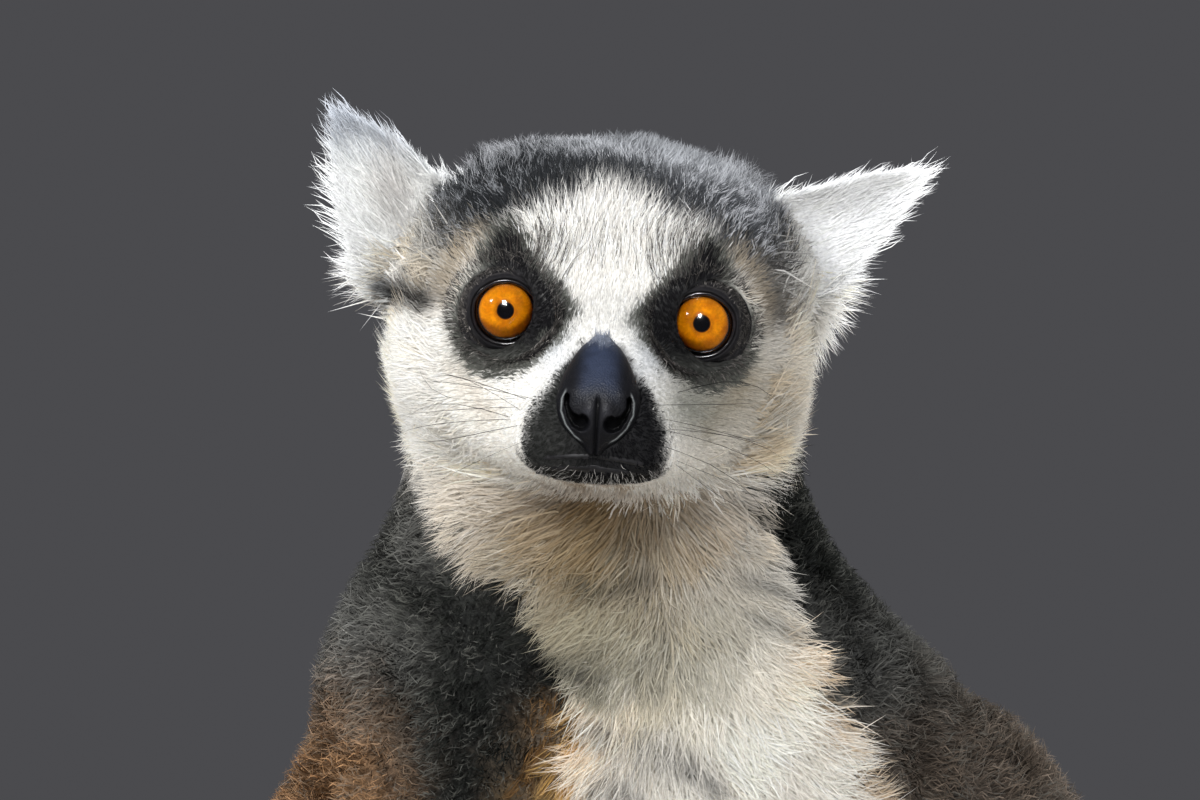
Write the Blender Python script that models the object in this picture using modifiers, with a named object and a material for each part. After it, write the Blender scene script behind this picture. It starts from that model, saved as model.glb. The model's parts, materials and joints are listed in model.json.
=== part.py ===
"""Ring-tailed lemur, life size, as a still museum model.

The animal sits upright on its haunches with its hands on its knees, looks straight ahead,
and lays its long ringed tail round its right side and in front of its feet.  The solids
reach out to the tips of the coat.  +Z is up, the face looks towards -Y, and the origin is
the middle of the flat under the rump, on the floor.

Tables are in millimetres; every mesh is scaled to metres once it is made.
"""

import math

import bmesh
import bpy
import numpy as np
from mathutils import Matrix, Vector

MM = 0.001
GAP = 0.3                                # clearance between neighbouring solids

# ---------------------------------------------------------------- pose
RUMP_FLAT = (0.0, 44.0, 0.0)             # trunk-frame point that sits on the origin
TRUNK_TURN = math.radians(12.0)          # the trunk faces a little towards +X
FACE_PLACE = (-6.0, -88.0, 325.0)        # midpoint between the fronts of the eyes
HEAD_ROLL = math.radians(3.8)            # the head tips a little towards +X

# ---------------------------------------------------------------- trunk frame: trunk and neck
# middle x, middle y, height, half width, half depth of level sections
TRUNK = [
    (0, 44, 0, 36, 38),
    (0, 47, 5, 46, 47),
    (0, 50, 16, 55, 56),
    (0, 53, 34, 61, 62),
    (0, 57, 60, 64, 65),
    (0, 59, 92, 64, 66),
    (0, 57, 124, 63, 66),
    (0, 50, 156, 63, 64),
    (0, 40, 186, 65, 62),
    (0, 28, 214, 68, 59),
    (-2, 16, 238, 69, 55),
    (-9, 7, 258, 63, 50),
    (-15, 1, 272, 52, 44),
    (-16, -5, 288, 43, 38),
    (-17, -9, 306, 37, 32),
]
RUMP_TOP = 90.0
BELLY_TOP = 172.0
CHEST_TOP = 256.0

# ---------------------------------------------------------------- trunk frame: joints of the limbs
RIGHT = {
    "side": -1,
    "shoulder": (-50, 8, 228),
    "elbow": (-82, 36, 160),
    "wrist": (-68, -48, 173),
    "knuckles": (-67, -76, 158),
    "fingertips": (-66, -86, 126),
    "hip": (-36, 44, 50),
    "knee": (-75, -50, 140),
    "ankle": (-62, 2, 27),
    "heel": (-61, 20, 12),
    "ball": (-66, -54, 8),
    "toes": (-69, -96, 5),
}
LEFT = {
    "side": 1,
    "shoulder": (50, 8, 227),
    "elbow": (104, 30, 164),
    "wrist": (82, -50, 176),
    "knuckles": (83, -78, 161),
    "fingertips": (83, -88, 129),
    "hip": (36, 44, 50),
    "knee": (85, -52, 142),
    "ankle": (66, 4, 27),
    "heel": (64, 22, 12),
    "ball": (73, -52, 8),
    "toes": (79, -94, 5),
}
# share of the way along the limb, half width, half depth
UPPER_ARM = [(0.0, 28, 28), (0.35, 27, 26.5), (0.7, 23, 22.5), (1.0, 19, 18.5)]
FOREARM = [(0.0, 19, 18.5), (0.3, 19, 18), (0.7, 15.5, 14), (1.0, 11, 9)]
PALM = [(0.0, 10.5, 8.2), (0.35, 12.5, 7.6), (0.8, 14.2, 6.8), (1.1, 12.5, 5.6)]
THIGH = [(0.0, 44, 46), (0.35, 39, 43), (0.7, 31, 33), (1.0, 23, 24)]
SHANK = [(0.0, 22, 21), (0.3, 21, 20.5), (0.7, 16, 16.5), (1.0, 13, 14)]
FOOT = [(0.0, 11.5, 11.5), (0.25, 13.5, 14.5), (0.6, 14.5, 12), (1.0, 16, 8.5), (1.15, 14, 6.5)]
FINGER_GIRTH = (3.9, 3.5, 2.5)           # at the knuckle, the middle joint and the tip
TOE_GIRTH = (4.6, 4.2, 3.2)
DIGIT_SPREAD = (-10.4, -3.5, 3.5, 10.2)  # places of the four long digits across a palm

# ---------------------------------------------------------------- trunk frame: tail
TAIL_PATH = [
    (-2, 84, 27), (-14, 120, 19), (-52, 143, 16.4), (-102, 129, 16.4), (-138, 85, 16.4),
    (-152, 28, 16.4), (-150, -30, 16.4), (-132, -84, 16.4), (-98, -125, 16.4),
    (-50, -146, 16.4), (-4, -147, 16.2), (33, -133, 15.6),
]
TAIL_GIRTH = [15, 16.6, 17.4, 17.6, 17.8, 18.0, 18.2, 18.4, 18.4, 18.2, 17.4, 15.5]
TAIL_PIECES = 6

# ---------------------------------------------------------------- face frame: head
# distance behind the fronts of the eyes, half width, top, bottom, and how much narrower
# the top of the section is than its bottom
HEAD = [
    (-34.2, 8.4, -12.0, -26.5, 0.14),
    (-32.4, 11.0, -9.6, -29.8, 0.20),
    (-28.5, 13.6, -7.2, -32.2, 0.26),
    (-22.0, 15.4, -3.6, -33.3, 0.27),
    (-14.0, 17.6, 0.4, -33.6, 0.26),
    (-8.0, 21.0, 4.5, -34.0, 0.20),
    (-3.0, 27.0, 13.0, -34.6, 0.10),
    (2.0, 33.0, 22.5, -35.5, 0.03),
    (9.0, 38.0, 31.0, -36.5, 0.06),
    (18.0, 40.6, 36.8, -37.5, 0.10),
    (30.0, 41.0, 39.4, -38.0, 0.10),
    (42.0, 38.3, 37.6, -36.5, 0.06),
    (52.0, 32.5, 30.0, -32.0, 0.0),
    (60.0, 23.0, 19.5, -23.0, 0.0),
]
NAPE_ROUND = 6.0
HEAD_SQUARE = 2.35                       # power of the oval sections
MUZZLE_BACK = -7.0                       # plane where the muzzle meets the head
MOUTH_LINE = -28.4                       # level plane where the lips meet
EYE_SIDE = 19.0
EYE_BACK = 4.6                           # middle of the eyeball behind the face plane
EYE_RADIUS = 8.8
EYE_OPENING = 7.3
EYE_SPLAY = math.radians(17.0)           # how far each eye opening turns outwards
# height, half width, front and back of the bare nose, as level sections
NOSE = [
    (-24.0, 2.4, -36.4, -28.0),
    (-21.0, 5.6, -37.9, -28.0),
    (-17.5, 7.1, -38.4, -28.0),
    (-13.5, 7.2, -37.8, -27.0),
    (-10.0, 6.4, -35.8, -25.0),
    (-6.8, 4.8, -32.8, -22.0),
    (-4.4, 2.4, -29.2, -19.0),
]
# base, tip, and the lower rim and the upper crest as (reach at the root, extra bulge)
EAR_RIGHT = {"base": (-33.0, 27.0, 13.0), "tip": (-57.0, 28.0, 39.0), "lower": 1,
             "rim": (12.5, 10.5), "crest": (9.0, 4.5)}
EAR_LEFT = {"base": (34.0, 27.0, 17.0), "tip": (63.0, 30.0, 34.0), "lower": -1,
            "rim": (12.0, 6.0), "crest": (8.0, 3.5)}
EAR_ROOT = 9.0                           # length of the ear that is inside the head
EAR_CUP = 7.5                            # how far the rims curl forwards
EAR_THICKNESS = 3.0

# ---------------------------------------------------------------- resolution
ROUND_STEPS = 2                          # rings in a rounded end
DIGIT_SIDES = 6
MATERIALS = {
    "grey_coat": ((0.30, 0.27, 0.24), 0.9),
    "pale_coat": ((0.78, 0.73, 0.66), 0.9),
    "black_coat": ((0.035, 0.03, 0.03), 0.85),
    "white_coat": ((0.82, 0.79, 0.74), 0.9),
    "nose_leather": ((0.02, 0.02, 0.025), 0.35),
    "eye_amber": ((0.80, 0.30, 0.02), 0.05),
}


# ---------------------------------------------------------------- scene
for old in list(bpy.data.objects):
    bpy.data.objects.remove(old, do_unlink=True)

PARTS = bpy.data.collections.new("ring_tailed_lemur")
CUTTERS = bpy.data.collections.new("cutters")
bpy.context.scene.collection.children.link(PARTS)
bpy.context.scene.collection.children.link(CUTTERS)


def empty(name, matrix):
    """A frame that the pieces are parented to."""
    frame = bpy.data.objects.new(name, None)
    PARTS.objects.link(frame)
    frame.matrix_world = matrix
    return frame


TRUNK_FRAME = empty(
    "trunk_frame",
    Matrix.Rotation(TRUNK_TURN, 4, "Z") @ Matrix.Translation(-Vector(RUMP_FLAT) * MM),
)
FACE_FRAME = empty(
    "face_frame",
    Matrix.Translation(Vector(FACE_PLACE) * MM) @ Matrix.Rotation(HEAD_ROLL, 4, "Y"),
)


def material(slot):
    """The Principled material of a slot, made once."""
    made = bpy.data.materials.get(slot)
    if made:
        return made
    colour, roughness = MATERIALS[slot]
    made = bpy.data.materials.new(slot)
    made.use_nodes = True
    shader = made.node_tree.nodes["Principled BSDF"]
    shader.inputs["Base Color"].default_value = (*colour, 1.0)
    shader.inputs["Roughness"].default_value = roughness
    shader.inputs["Metallic"].default_value = 0.0
    return made


# ---------------------------------------------------------------- shapes
SIDEWAYS, BACKWARD, UP = (1.0, 0.0, 0.0), (0.0, 1.0, 0.0), (0.0, 0.0, 1.0)


def smooth_rows(rows, count):
    """Evenly spaced rows on a cubic through the given ones, by the distance between them.

    At each given row the slope is that of the chord between its two neighbours.
    """
    rows = np.array(rows, float)
    steps = np.linalg.norm(np.diff(rows[:, :3], axis=0), axis=1)
    at = np.concatenate([[0.0], np.cumsum(steps)])
    slope = np.gradient(rows, at, axis=0)
    want = np.linspace(0.0, at[-1], count)
    i = np.clip(np.searchsorted(at, want, side="right") - 1, 0, len(at) - 2)
    span = (at[i + 1] - at[i])[:, None]
    t = ((want - at[i]) / (at[i + 1] - at[i]))[:, None]
    return (
        (2 * t**3 - 3 * t**2 + 1) * rows[i]
        + (t**3 - 2 * t**2 + t) * span * slope[i]
        + (3 * t**2 - 2 * t**3) * rows[i + 1]
        + (t**3 - t**2) * span * slope[i + 1]
    )


def add_object(name, mesh, frame, collection):
    """Put a finished mesh, in millimetres, into the scene under its frame."""
    mesh.transform(Matrix.Scale(MM, 4))
    piece = bpy.data.objects.new(name, mesh)
    collection.objects.link(piece)
    piece.parent = frame
    if collection == CUTTERS:
        piece.hide_render = True
        piece.display_type = "WIRE"
    return piece


def mesh_from(name, vertices, faces):
    """One closed mesh whose faces point outwards."""
    bm = bmesh.new()
    made = [bm.verts.new(v) for v in vertices]
    for face in faces:
        bm.faces.new([made[i] for i in face])
    bmesh.ops.recalc_face_normals(bm, faces=bm.faces)
    mesh = bpy.data.meshes.new(name)
    bm.to_mesh(mesh)
    bm.free()
    return mesh


def rounded(rings, length, direction, steps):
    """Rings that close an end as a quarter ellipse, and its pole."""
    middle = rings.mean(axis=0)
    added = []
    for step in range(1, steps + 1):
        angle = 0.5 * math.pi * step / (steps + 1)
        ring = middle + (rings - middle) * math.cos(angle)
        added.append(ring + direction * length * math.sin(angle))
    return added, middle + direction * length


def loft(name, rows, sides, frame, rounds=(0.0, 0.0), level=None, broad=SIDEWAYS,
         pear=None, square=2.0, floor=False, collection=PARTS):
    """A closed skin over oval sections along a path.

    Each row is x, y, z, half width, half depth.  A section faces along the path, or along
    level where that is given (one direction, or one for each row), and its width runs along
    broad as nearly as it can.  An end is rounded over the given length, or flat.  pear
    narrows the top of a section by that share, square is the power of the oval (2 is an
    ellipse, more is squarer), and floor presses what is below z = 0 flat.
    """
    rows = np.array(rows, float)
    centres = rows[:, :3]
    along = np.gradient(centres, axis=0)
    if level is not None:
        along = np.broadcast_to(np.array(level, float), centres.shape).copy()
    along /= np.linalg.norm(along, axis=1)[:, None]
    width = np.cross(np.cross(along, broad), along)
    if broad == UP:
        width = np.cross(along, UP)
    width /= np.linalg.norm(width, axis=1)[:, None]
    depth = np.cross(along, width)
    angle = 2 * np.pi * np.arange(sides) / sides
    c, s = (np.sign(f) * np.abs(f) ** (2.0 / square) for f in (np.cos(angle), np.sin(angle)))
    narrow = np.zeros(len(rows)) if pear is None else np.array(pear, float)
    topwards = np.sign(depth[:, 2, None] + 1e-9) * s
    across = rows[:, 3, None] * c * (1.0 - narrow[:, None] * topwards)
    outwards = rows[:, 4, None] * s
    rings = list(centres[:, None] + across[:, :, None] * width[:, None]
                 + outwards[:, :, None] * depth[:, None])
    poles = [rings[0].mean(axis=0), rings[-1].mean(axis=0)]
    steps = ROUND_STEPS if sides > DIGIT_SIDES else 1
    if rounds[0]:
        added, poles[0] = rounded(rings[0], rounds[0], -along[0], steps)
        rings = added[::-1] + rings
    if rounds[1]:
        added, poles[1] = rounded(rings[-1], rounds[1], along[-1], steps)
        rings = rings + added
    vertices = np.concatenate(rings + [poles])
    if floor:
        vertices[:, 2] = np.maximum(vertices[:, 2], 0.0)
    faces = []
    for ring in range(len(rings) - 1):
        for side in range(sides):
            a, b = ring * sides + side, ring * sides + (side + 1) % sides
            faces.append((a, b, b + sides, a + sides))
    first_pole = len(rings) * sides
    last_ring = first_pole - sides
    for side in range(sides):
        after = (side + 1) % sides
        faces.append((after, side, first_pole))
        faces.append((last_ring + side, last_ring + after, first_pole + 1))
    return add_object(name, mesh_from(name, vertices, faces), frame, collection)


def limb_rows(start, end, girths, count, grow=0.0):
    """Rows of a straight limb between two joints, from its (share, width, depth) table."""
    start, end = np.array(start, float), np.array(end, float)
    rows = [(*(start + (end - start) * share), w + grow, d + grow) for share, w, d in girths]
    return smooth_rows(rows, count)


# ---------------------------------------------------------------- joining and cutting
def settle(piece):
    """Apply the modifiers and keep the largest body of what they leave."""
    evaluated = piece.evaluated_get(bpy.context.evaluated_depsgraph_get())
    mesh = bpy.data.meshes.new_from_object(evaluated)
    piece.modifiers.clear()
    piece.data = mesh
    bm = bmesh.new()
    bm.from_mesh(mesh)
    bmesh.ops.remove_doubles(bm, verts=bm.verts, dist=1e-7)
    waiting = set(bm.faces)
    islands = []
    while waiting:
        island, edge = set(), [waiting.pop()]
        while edge:
            face = edge.pop()
            island.add(face)
            for side in face.edges:
                for other in side.link_faces:
                    if other in waiting:
                        waiting.remove(other)
                        edge.append(other)
        islands.append(island)
    islands.sort(key=lambda faces: sum(face.calc_area() for face in faces))
    for island in islands[:-1]:
        bmesh.ops.delete(bm, geom=list(island), context="FACES")
    bmesh.ops.recalc_face_normals(bm, faces=bm.faces)
    bm.to_mesh(mesh)
    bm.free()


def combine(piece, others, operation):
    """Boolean the others into a piece, one after another."""
    for other in others:
        change = piece.modifiers.new(operation.lower(), "BOOLEAN")
        change.operation = operation
        change.solver = "EXACT"
        change.object = other
    settle(piece)


def carve(piece, *others):
    """Take the others out of a piece."""
    combine(piece, others, "DIFFERENCE")


def join(piece, others):
    """Fuse the others into a piece and drop them."""
    combine(piece, others, "UNION")
    for other in others:
        bpy.data.objects.remove(other, do_unlink=True)


def plane_cut(piece, point, normal):
    """Keep what lies behind a plane and close the cut."""
    bm = bmesh.new()
    bm.from_mesh(piece.data)
    everything = bm.verts[:] + bm.edges[:] + bm.faces[:]
    bmesh.ops.bisect_plane(
        bm, geom=everything, dist=1e-7, plane_co=Vector(point) * MM, plane_no=normal,
        clear_outer=True,
    )
    rim = [edge for edge in bm.edges if edge.is_boundary]
    bmesh.ops.contextual_create(bm, geom=rim)
    bmesh.ops.recalc_face_normals(bm, faces=bm.faces)
    bm.to_mesh(piece.data)
    bm.free()


def finish(piece, slot):
    """Give a piece its material and smooth shading with crisp cut edges."""
    piece.data.materials.clear()
    piece.data.materials.append(material(slot))
    piece.data.shade_smooth()
    piece.data.set_sharp_from_angle(angle=math.radians(50))


# ---------------------------------------------------------------- trunk and neck
UP = (0, 0, 1)
BACKWARD = (0, 1, 0)


TRUNK_END = TRUNK[-1][2]
TRUNK_LEVELS = np.concatenate([
    np.array([0.0, 4.0, 12.0, 26.0, 46.0, 68.0]), np.linspace(RUMP_TOP, BELLY_TOP, 5),
    np.linspace(BELLY_TOP, CHEST_TOP, 5), np.linspace(CHEST_TOP, TRUNK_END, 5),
])


def stretch(levels, low, high):
    """The levels between two ends, and the ends themselves."""
    return np.concatenate([[low], levels[(levels > low + GAP) & (levels < high - GAP)], [high]])


def trunk_piece(name, low, high, grow=0.0, collection=PARTS):
    """The stretch of the trunk between two heights."""
    rows = smooth_rows(TRUNK, 160)
    levels = stretch(TRUNK_LEVELS, low, high)
    picked = np.stack([np.interp(levels, rows[:, 2], column) for column in rows.T], axis=1)
    picked[:, 3:] += grow
    return loft(name, picked, 24, TRUNK_FRAME, level=UP, collection=collection)


rump = trunk_piece("rump", 0.0, RUMP_TOP - GAP / 2)
belly = trunk_piece("belly", RUMP_TOP + GAP / 2, BELLY_TOP - GAP / 2)
chest = trunk_piece("chest", BELLY_TOP + GAP / 2, CHEST_TOP - GAP / 2)
neck = trunk_piece("neck", CHEST_TOP + GAP / 2, TRUNK_END)
trunk_cutter = trunk_piece("trunk_cutter", 0.0, TRUNK_END, GAP + 0.05, CUTTERS)


# ---------------------------------------------------------------- limbs
def hand_or_paw(name, palm, bases, middles, tips, girths):
    """Fuse the digits, each a short bent loft, into a palm or sole."""
    digits = []
    for number, (base, middle, tip) in enumerate(zip(bases, middles, tips)):
        rows = [(*p, g, g) for p, g in zip((base, middle, tip), girths)]
        digits.append(
            loft(f"{name}_digit_{number}", smooth_rows(rows, 3), DIGIT_SIDES, TRUNK_FRAME,
                 rounds=(girths[0] * 0.6, girths[2] * 0.8), floor=True)
        )
    join(palm, digits)


def make_hand(side_name, joints):
    """A hand draped over the knee: palm, four fingers and a thumb on the inner side."""
    side = joints["side"]
    name = f"hand_{side_name}"
    palm = loft(name, limb_rows(joints["wrist"], joints["knuckles"], PALM, 5), 12,
                TRUNK_FRAME, rounds=(3.0, 3.5))
    knuckles = np.array(joints["knuckles"], float)
    tips_at = np.array(joints["fingertips"], float)
    wrist = np.array(joints["wrist"], float)
    bases, middles, tips = [], [], []
    for offset in DIGIT_SPREAD:
        across = np.array((offset, 0.0, 0.0))
        bases.append(knuckles + across)
        middles.append(knuckles * 0.6 + tips_at * 0.4 + across * 1.2 + np.array((0, -6.0, 1.0)))
        tips.append(tips_at + across * 1.3 + np.array((0, 0, abs(offset) * 0.5)))
    inner = np.array((-side, 0.0, 0.0))
    root = wrist * 0.5 + knuckles * 0.5
    bases.append(root + inner * 9.0)
    middles.append(root + inner * 20.0 + np.array((0, -9.0, -7.0)))
    tips.append(root + inner * 25.0 + np.array((0, -15.0, -19.0)))
    hand_or_paw(name, palm, bases, middles, tips, FINGER_GIRTH)
    return palm


def make_foot(side_name, joints):
    """A foot flat on the floor: sole, four toes and a big toe standing off inwards."""
    side = joints["side"]
    name = f"foot_{side_name}"
    heel, ball = np.array(joints["heel"], float), np.array(joints["ball"], float)
    rows = limb_rows(heel, ball, FOOT, 6)
    sole = loft(name, rows, 12, TRUNK_FRAME, rounds=(8.0, 5.0), floor=True)
    toe_end = np.array(joints["toes"], float)
    bases, middles, tips = [], [], []
    for offset in DIGIT_SPREAD:
        across = np.array((offset, 0.0, 0.0))
        bases.append(ball + across + np.array((0, 0, -2.0)))
        middles.append((ball + toe_end) / 2 + across * 1.2 + np.array((0, 0, -1.6)))
        tips.append(toe_end + across * 1.3 + np.array((0, abs(offset) * 0.6, -1.6)))
    inner = np.array((-side, 0.0, 0.0))
    root = heel * 0.4 + ball * 0.6
    bases.append(root + inner * 9.0 + np.array((0, 0, -3.0)))
    middles.append(root + inner * 23.0 + np.array((0, -14.0, -4.5)))
    tips.append(root + inner * 30.0 + np.array((0, -29.0, -5.5)))
    hand_or_paw(name, sole, bases, middles, tips, TOE_GIRTH)
    return sole


def limb(name, start, end, girths, sides, count, rounds, grow=0.0, collection=PARTS):
    """One straight segment of a limb with rounded ends."""
    rows = limb_rows(start, end, girths, count, grow)
    ends = tuple(length + grow if length else 0.0 for length in rounds)
    return loft(name, rows, sides, TRUNK_FRAME, rounds=ends, collection=collection)


ARM_PLAN = {
    "upper_arm": ("shoulder", "elbow", UPPER_ARM, 14, 6, (20.0, 14.0)),
    "forearm": ("elbow", "wrist", FOREARM, 12, 6, (14.0, 3.0)),
}
LEG_PLAN = {
    "thigh": ("hip", "knee", THIGH, 16, 6, (30.0, 19.0)),
    "shank": ("knee", "ankle", SHANK, 12, 6, (14.0, 10.0)),
}
for side_name, joints in (("right", RIGHT), ("left", LEFT)):
    built, cutters = {}, {}
    for part, (start, end, girths, sides, count, rounds) in {**ARM_PLAN, **LEG_PLAN}.items():
        name = f"{part}_{side_name}"
        built[part] = limb(name, joints[start], joints[end], girths, sides, count, rounds)
        cutters[part] = limb(f"{name}_cutter", joints[start], joints[end], girths, sides,
                             count, rounds, GAP, CUTTERS)
    hand = make_hand(side_name, joints)
    foot = make_foot(side_name, joints)
    carve(built["thigh"], trunk_cutter)
    carve(built["shank"], trunk_cutter, cutters["thigh"])
    carve(foot, trunk_cutter, cutters["thigh"], cutters["shank"])
    carve(built["upper_arm"], trunk_cutter, cutters["thigh"])
    carve(built["forearm"], trunk_cutter, cutters["upper_arm"], cutters["thigh"])
    carve(hand, cutters["forearm"], cutters["thigh"], cutters["shank"])
    for part in ("upper_arm", "forearm", "thigh", "shank"):
        finish(built[part], "grey_coat")
    finish(hand, "pale_coat")
    finish(foot, "pale_coat")

# ---------------------------------------------------------------- tail
tail_rows = smooth_rows([(*p, g, g) for p, g in zip(TAIL_PATH, TAIL_GIRTH)], 240)
tail_at = np.linspace(0.0, 1.0, len(tail_rows))
tail_along = np.gradient(tail_rows[:, :3], axis=0)
tail_length = np.linalg.norm(np.diff(tail_rows[:, :3], axis=0), axis=1).sum()
half_gap = GAP / 2 / tail_length
for number in range(TAIL_PIECES):
    low = number / TAIL_PIECES + (half_gap if number else 0.0)
    high = (number + 1) / TAIL_PIECES - (half_gap if number < TAIL_PIECES - 1 else 0.0)
    share = np.linspace(low, high, 5)
    rows = np.stack([np.interp(share, tail_at, column) for column in tail_rows.T], axis=1)
    along = np.stack([np.interp(share, tail_at, column) for column in tail_along.T], axis=1)
    last = number == TAIL_PIECES - 1
    length = loft(f"tail_{number + 1}", rows, 12, TRUNK_FRAME, level=along, broad=UP,
                  rounds=(0.0, 16.0 if last else 0.0), floor=True)
    if number == 0:
        carve(length, trunk_cutter)
    finish(length, "white_coat" if number % 2 else "black_coat")

# ---------------------------------------------------------------- head
SKULL_ROWS = [(0.0, y, (top + bottom) / 2, w, (top - bottom) / 2, pear)
              for y, w, top, bottom, pear in HEAD]
HEAD_FRONT, HEAD_BACK = HEAD[0][0], HEAD[-1][0]
HEAD_LEVELS = np.concatenate([
    np.linspace(HEAD_FRONT, -32, 2), np.linspace(-28, MUZZLE_BACK, 4),
    np.linspace(-3, 10, 4), np.linspace(17, 45, 5), np.linspace(52, HEAD_BACK, 2),
])


def head_piece(name, front, back, rounds, grow=0.0, collection=PARTS):
    """The stretch of the head between two distances behind the face."""
    rows = smooth_rows(SKULL_ROWS, 160)
    at = stretch(HEAD_LEVELS, front, back)
    picked = np.stack([np.interp(at, rows[:, 1], column) for column in rows.T], axis=1)
    picked[:, 3:5] += grow
    ends = tuple(length + grow if length else 0.0 for length in rounds)
    return loft(name, picked[:, :5], 22, FACE_FRAME, rounds=ends, level=BACKWARD,
                pear=picked[:, 5], square=HEAD_SQUARE, collection=collection)


head = head_piece("head", MUZZLE_BACK + GAP / 2, HEAD_BACK, (0.0, NAPE_ROUND))
head_cutter = head_piece("head_cutter", MUZZLE_BACK, HEAD_BACK, (0.0, NAPE_ROUND),
                         GAP + 0.05, CUTTERS)
muzzle = head_piece("muzzle", HEAD_FRONT, MUZZLE_BACK - GAP / 2, (1.5, 0.0))
lower_jaw = head_piece("lower_jaw", HEAD_FRONT, MUZZLE_BACK - GAP / 2, (1.5, 0.0))
plane_cut(muzzle, (0, 0, MOUTH_LINE + GAP / 2), (0, 0, -1))
plane_cut(lower_jaw, (0, 0, MOUTH_LINE - GAP / 2), (0, 0, 1))


def make_nose(name, grow, collection):
    """The bare nose: level sections from the cleft of the lip up to the bridge."""
    rows = [(0.0, (front + back) / 2, z, w + grow, (back - front) / 2 + grow)
            for z, w, front, back in NOSE]
    rounds = (1.0 + grow, 1.0 + grow)
    return loft(name, smooth_rows(rows, 7), 10, FACE_FRAME, rounds=rounds, level=UP,
                collection=collection)


nose = make_nose("nose", 0.0, PARTS)
carve(muzzle, make_nose("nose_cutter", GAP, CUTTERS))


def ball(name, middle, radius, segments, rings, collection):
    """A sphere in the face frame."""
    bm = bmesh.new()
    bmesh.ops.create_uvsphere(bm, u_segments=segments, v_segments=rings, radius=radius)
    bmesh.ops.rotate(bm, verts=bm.verts, matrix=Matrix.Rotation(math.pi / 2, 3, "X"))
    bmesh.ops.translate(bm, verts=bm.verts, vec=middle)
    mesh = bpy.data.meshes.new(name)
    bm.to_mesh(mesh)
    bm.free()
    return add_object(name, mesh, FACE_FRAME, collection)


def eye_opening(name, middle, side):
    """A short cone that opens the socket forwards and a little outwards."""
    bm = bmesh.new()
    bmesh.ops.create_cone(bm, cap_ends=True, segments=12, depth=24.0,
                          radius1=EYE_OPENING - 1.0, radius2=EYE_OPENING + 2.0)
    turn = Matrix.Rotation(side * EYE_SPLAY, 3, "Z") @ Matrix.Rotation(math.pi / 2, 3, "X")
    bmesh.ops.rotate(bm, verts=bm.verts, matrix=turn)
    outwards = Vector((math.sin(side * EYE_SPLAY), -math.cos(EYE_SPLAY), 0.0))
    bmesh.ops.translate(bm, verts=bm.verts, vec=Vector(middle) + outwards * 12.0)
    mesh = bpy.data.meshes.new(name)
    bm.to_mesh(mesh)
    bm.free()
    return add_object(name, mesh, FACE_FRAME, CUTTERS)


def ear_point(ear, along, across):
    """A point of the ear's middle sheet: along from root to tip, across from crest to rim."""
    base, tip = np.array(ear["base"], float), np.array(ear["tip"], float)
    length = np.linalg.norm(tip - base)
    line = (tip - base) / length
    lower = np.cross(line, (0.0, 1.0, 0.0)) * ear["lower"]
    lower /= np.linalg.norm(lower)
    distance = along * (length + EAR_ROOT) - EAR_ROOT
    reach, bulge = ear["rim"] if across > 0 else ear["crest"]
    rim = reach * (1.0 - along) ** 0.8 + bulge * math.sin(math.pi * along) + 0.4
    curl = EAR_CUP * across * across * (1.0 - 0.6 * along)
    return base + line * distance + lower * rim * across + np.array((0.0, -curl, 0.0))


def make_ear(name, ear):
    """A cupped leaf that opens forwards, with the wall that Solidify gives it."""
    steps_along, steps_across = 8, 6
    grid = np.array([
        ear_point(ear, a / steps_along, 2.0 * b / steps_across - 1.0)
        for a in range(steps_along + 1) for b in range(steps_across + 1)
    ])
    row = steps_across + 1
    faces = [
        (a * row + b, a * row + b + 1, (a + 1) * row + b + 1, (a + 1) * row + b)
        for a in range(steps_along) for b in range(steps_across)
    ]
    piece = add_object(name, mesh_from(name, grid, faces), FACE_FRAME, PARTS)
    wall = piece.modifiers.new("wall", "SOLIDIFY")
    wall.thickness = EAR_THICKNESS * MM
    wall.offset = 0.0
    settle(piece)
    return piece


for side_name, side, ear in (("right", -1, EAR_RIGHT), ("left", 1, EAR_LEFT)):
    middle = (side * EYE_SIDE, EYE_BACK, 0.0)
    eye = ball(f"eye_{side_name}", middle, EYE_RADIUS, 12, 8, PARTS)
    socket = ball(f"socket_{side_name}", middle, EYE_RADIUS + GAP, 12, 8, CUTTERS)
    opening = eye_opening(f"opening_{side_name}", middle, side)
    carve(head, socket, opening)
    carve(muzzle, socket, opening)
    finish(eye, "eye_amber")
    auricle = make_ear(f"ear_{side_name}", ear)
    carve(auricle, head_cutter, trunk_cutter)
    finish(auricle, "white_coat")

carve(neck, head_cutter)
finish(head, "pale_coat")
finish(muzzle, "black_coat")
finish(lower_jaw, "grey_coat")
finish(nose, "nose_leather")
finish(rump, "grey_coat")
finish(belly, "pale_coat")
finish(chest, "pale_coat")
finish(neck, "grey_coat")
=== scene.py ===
import json
import math

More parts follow.
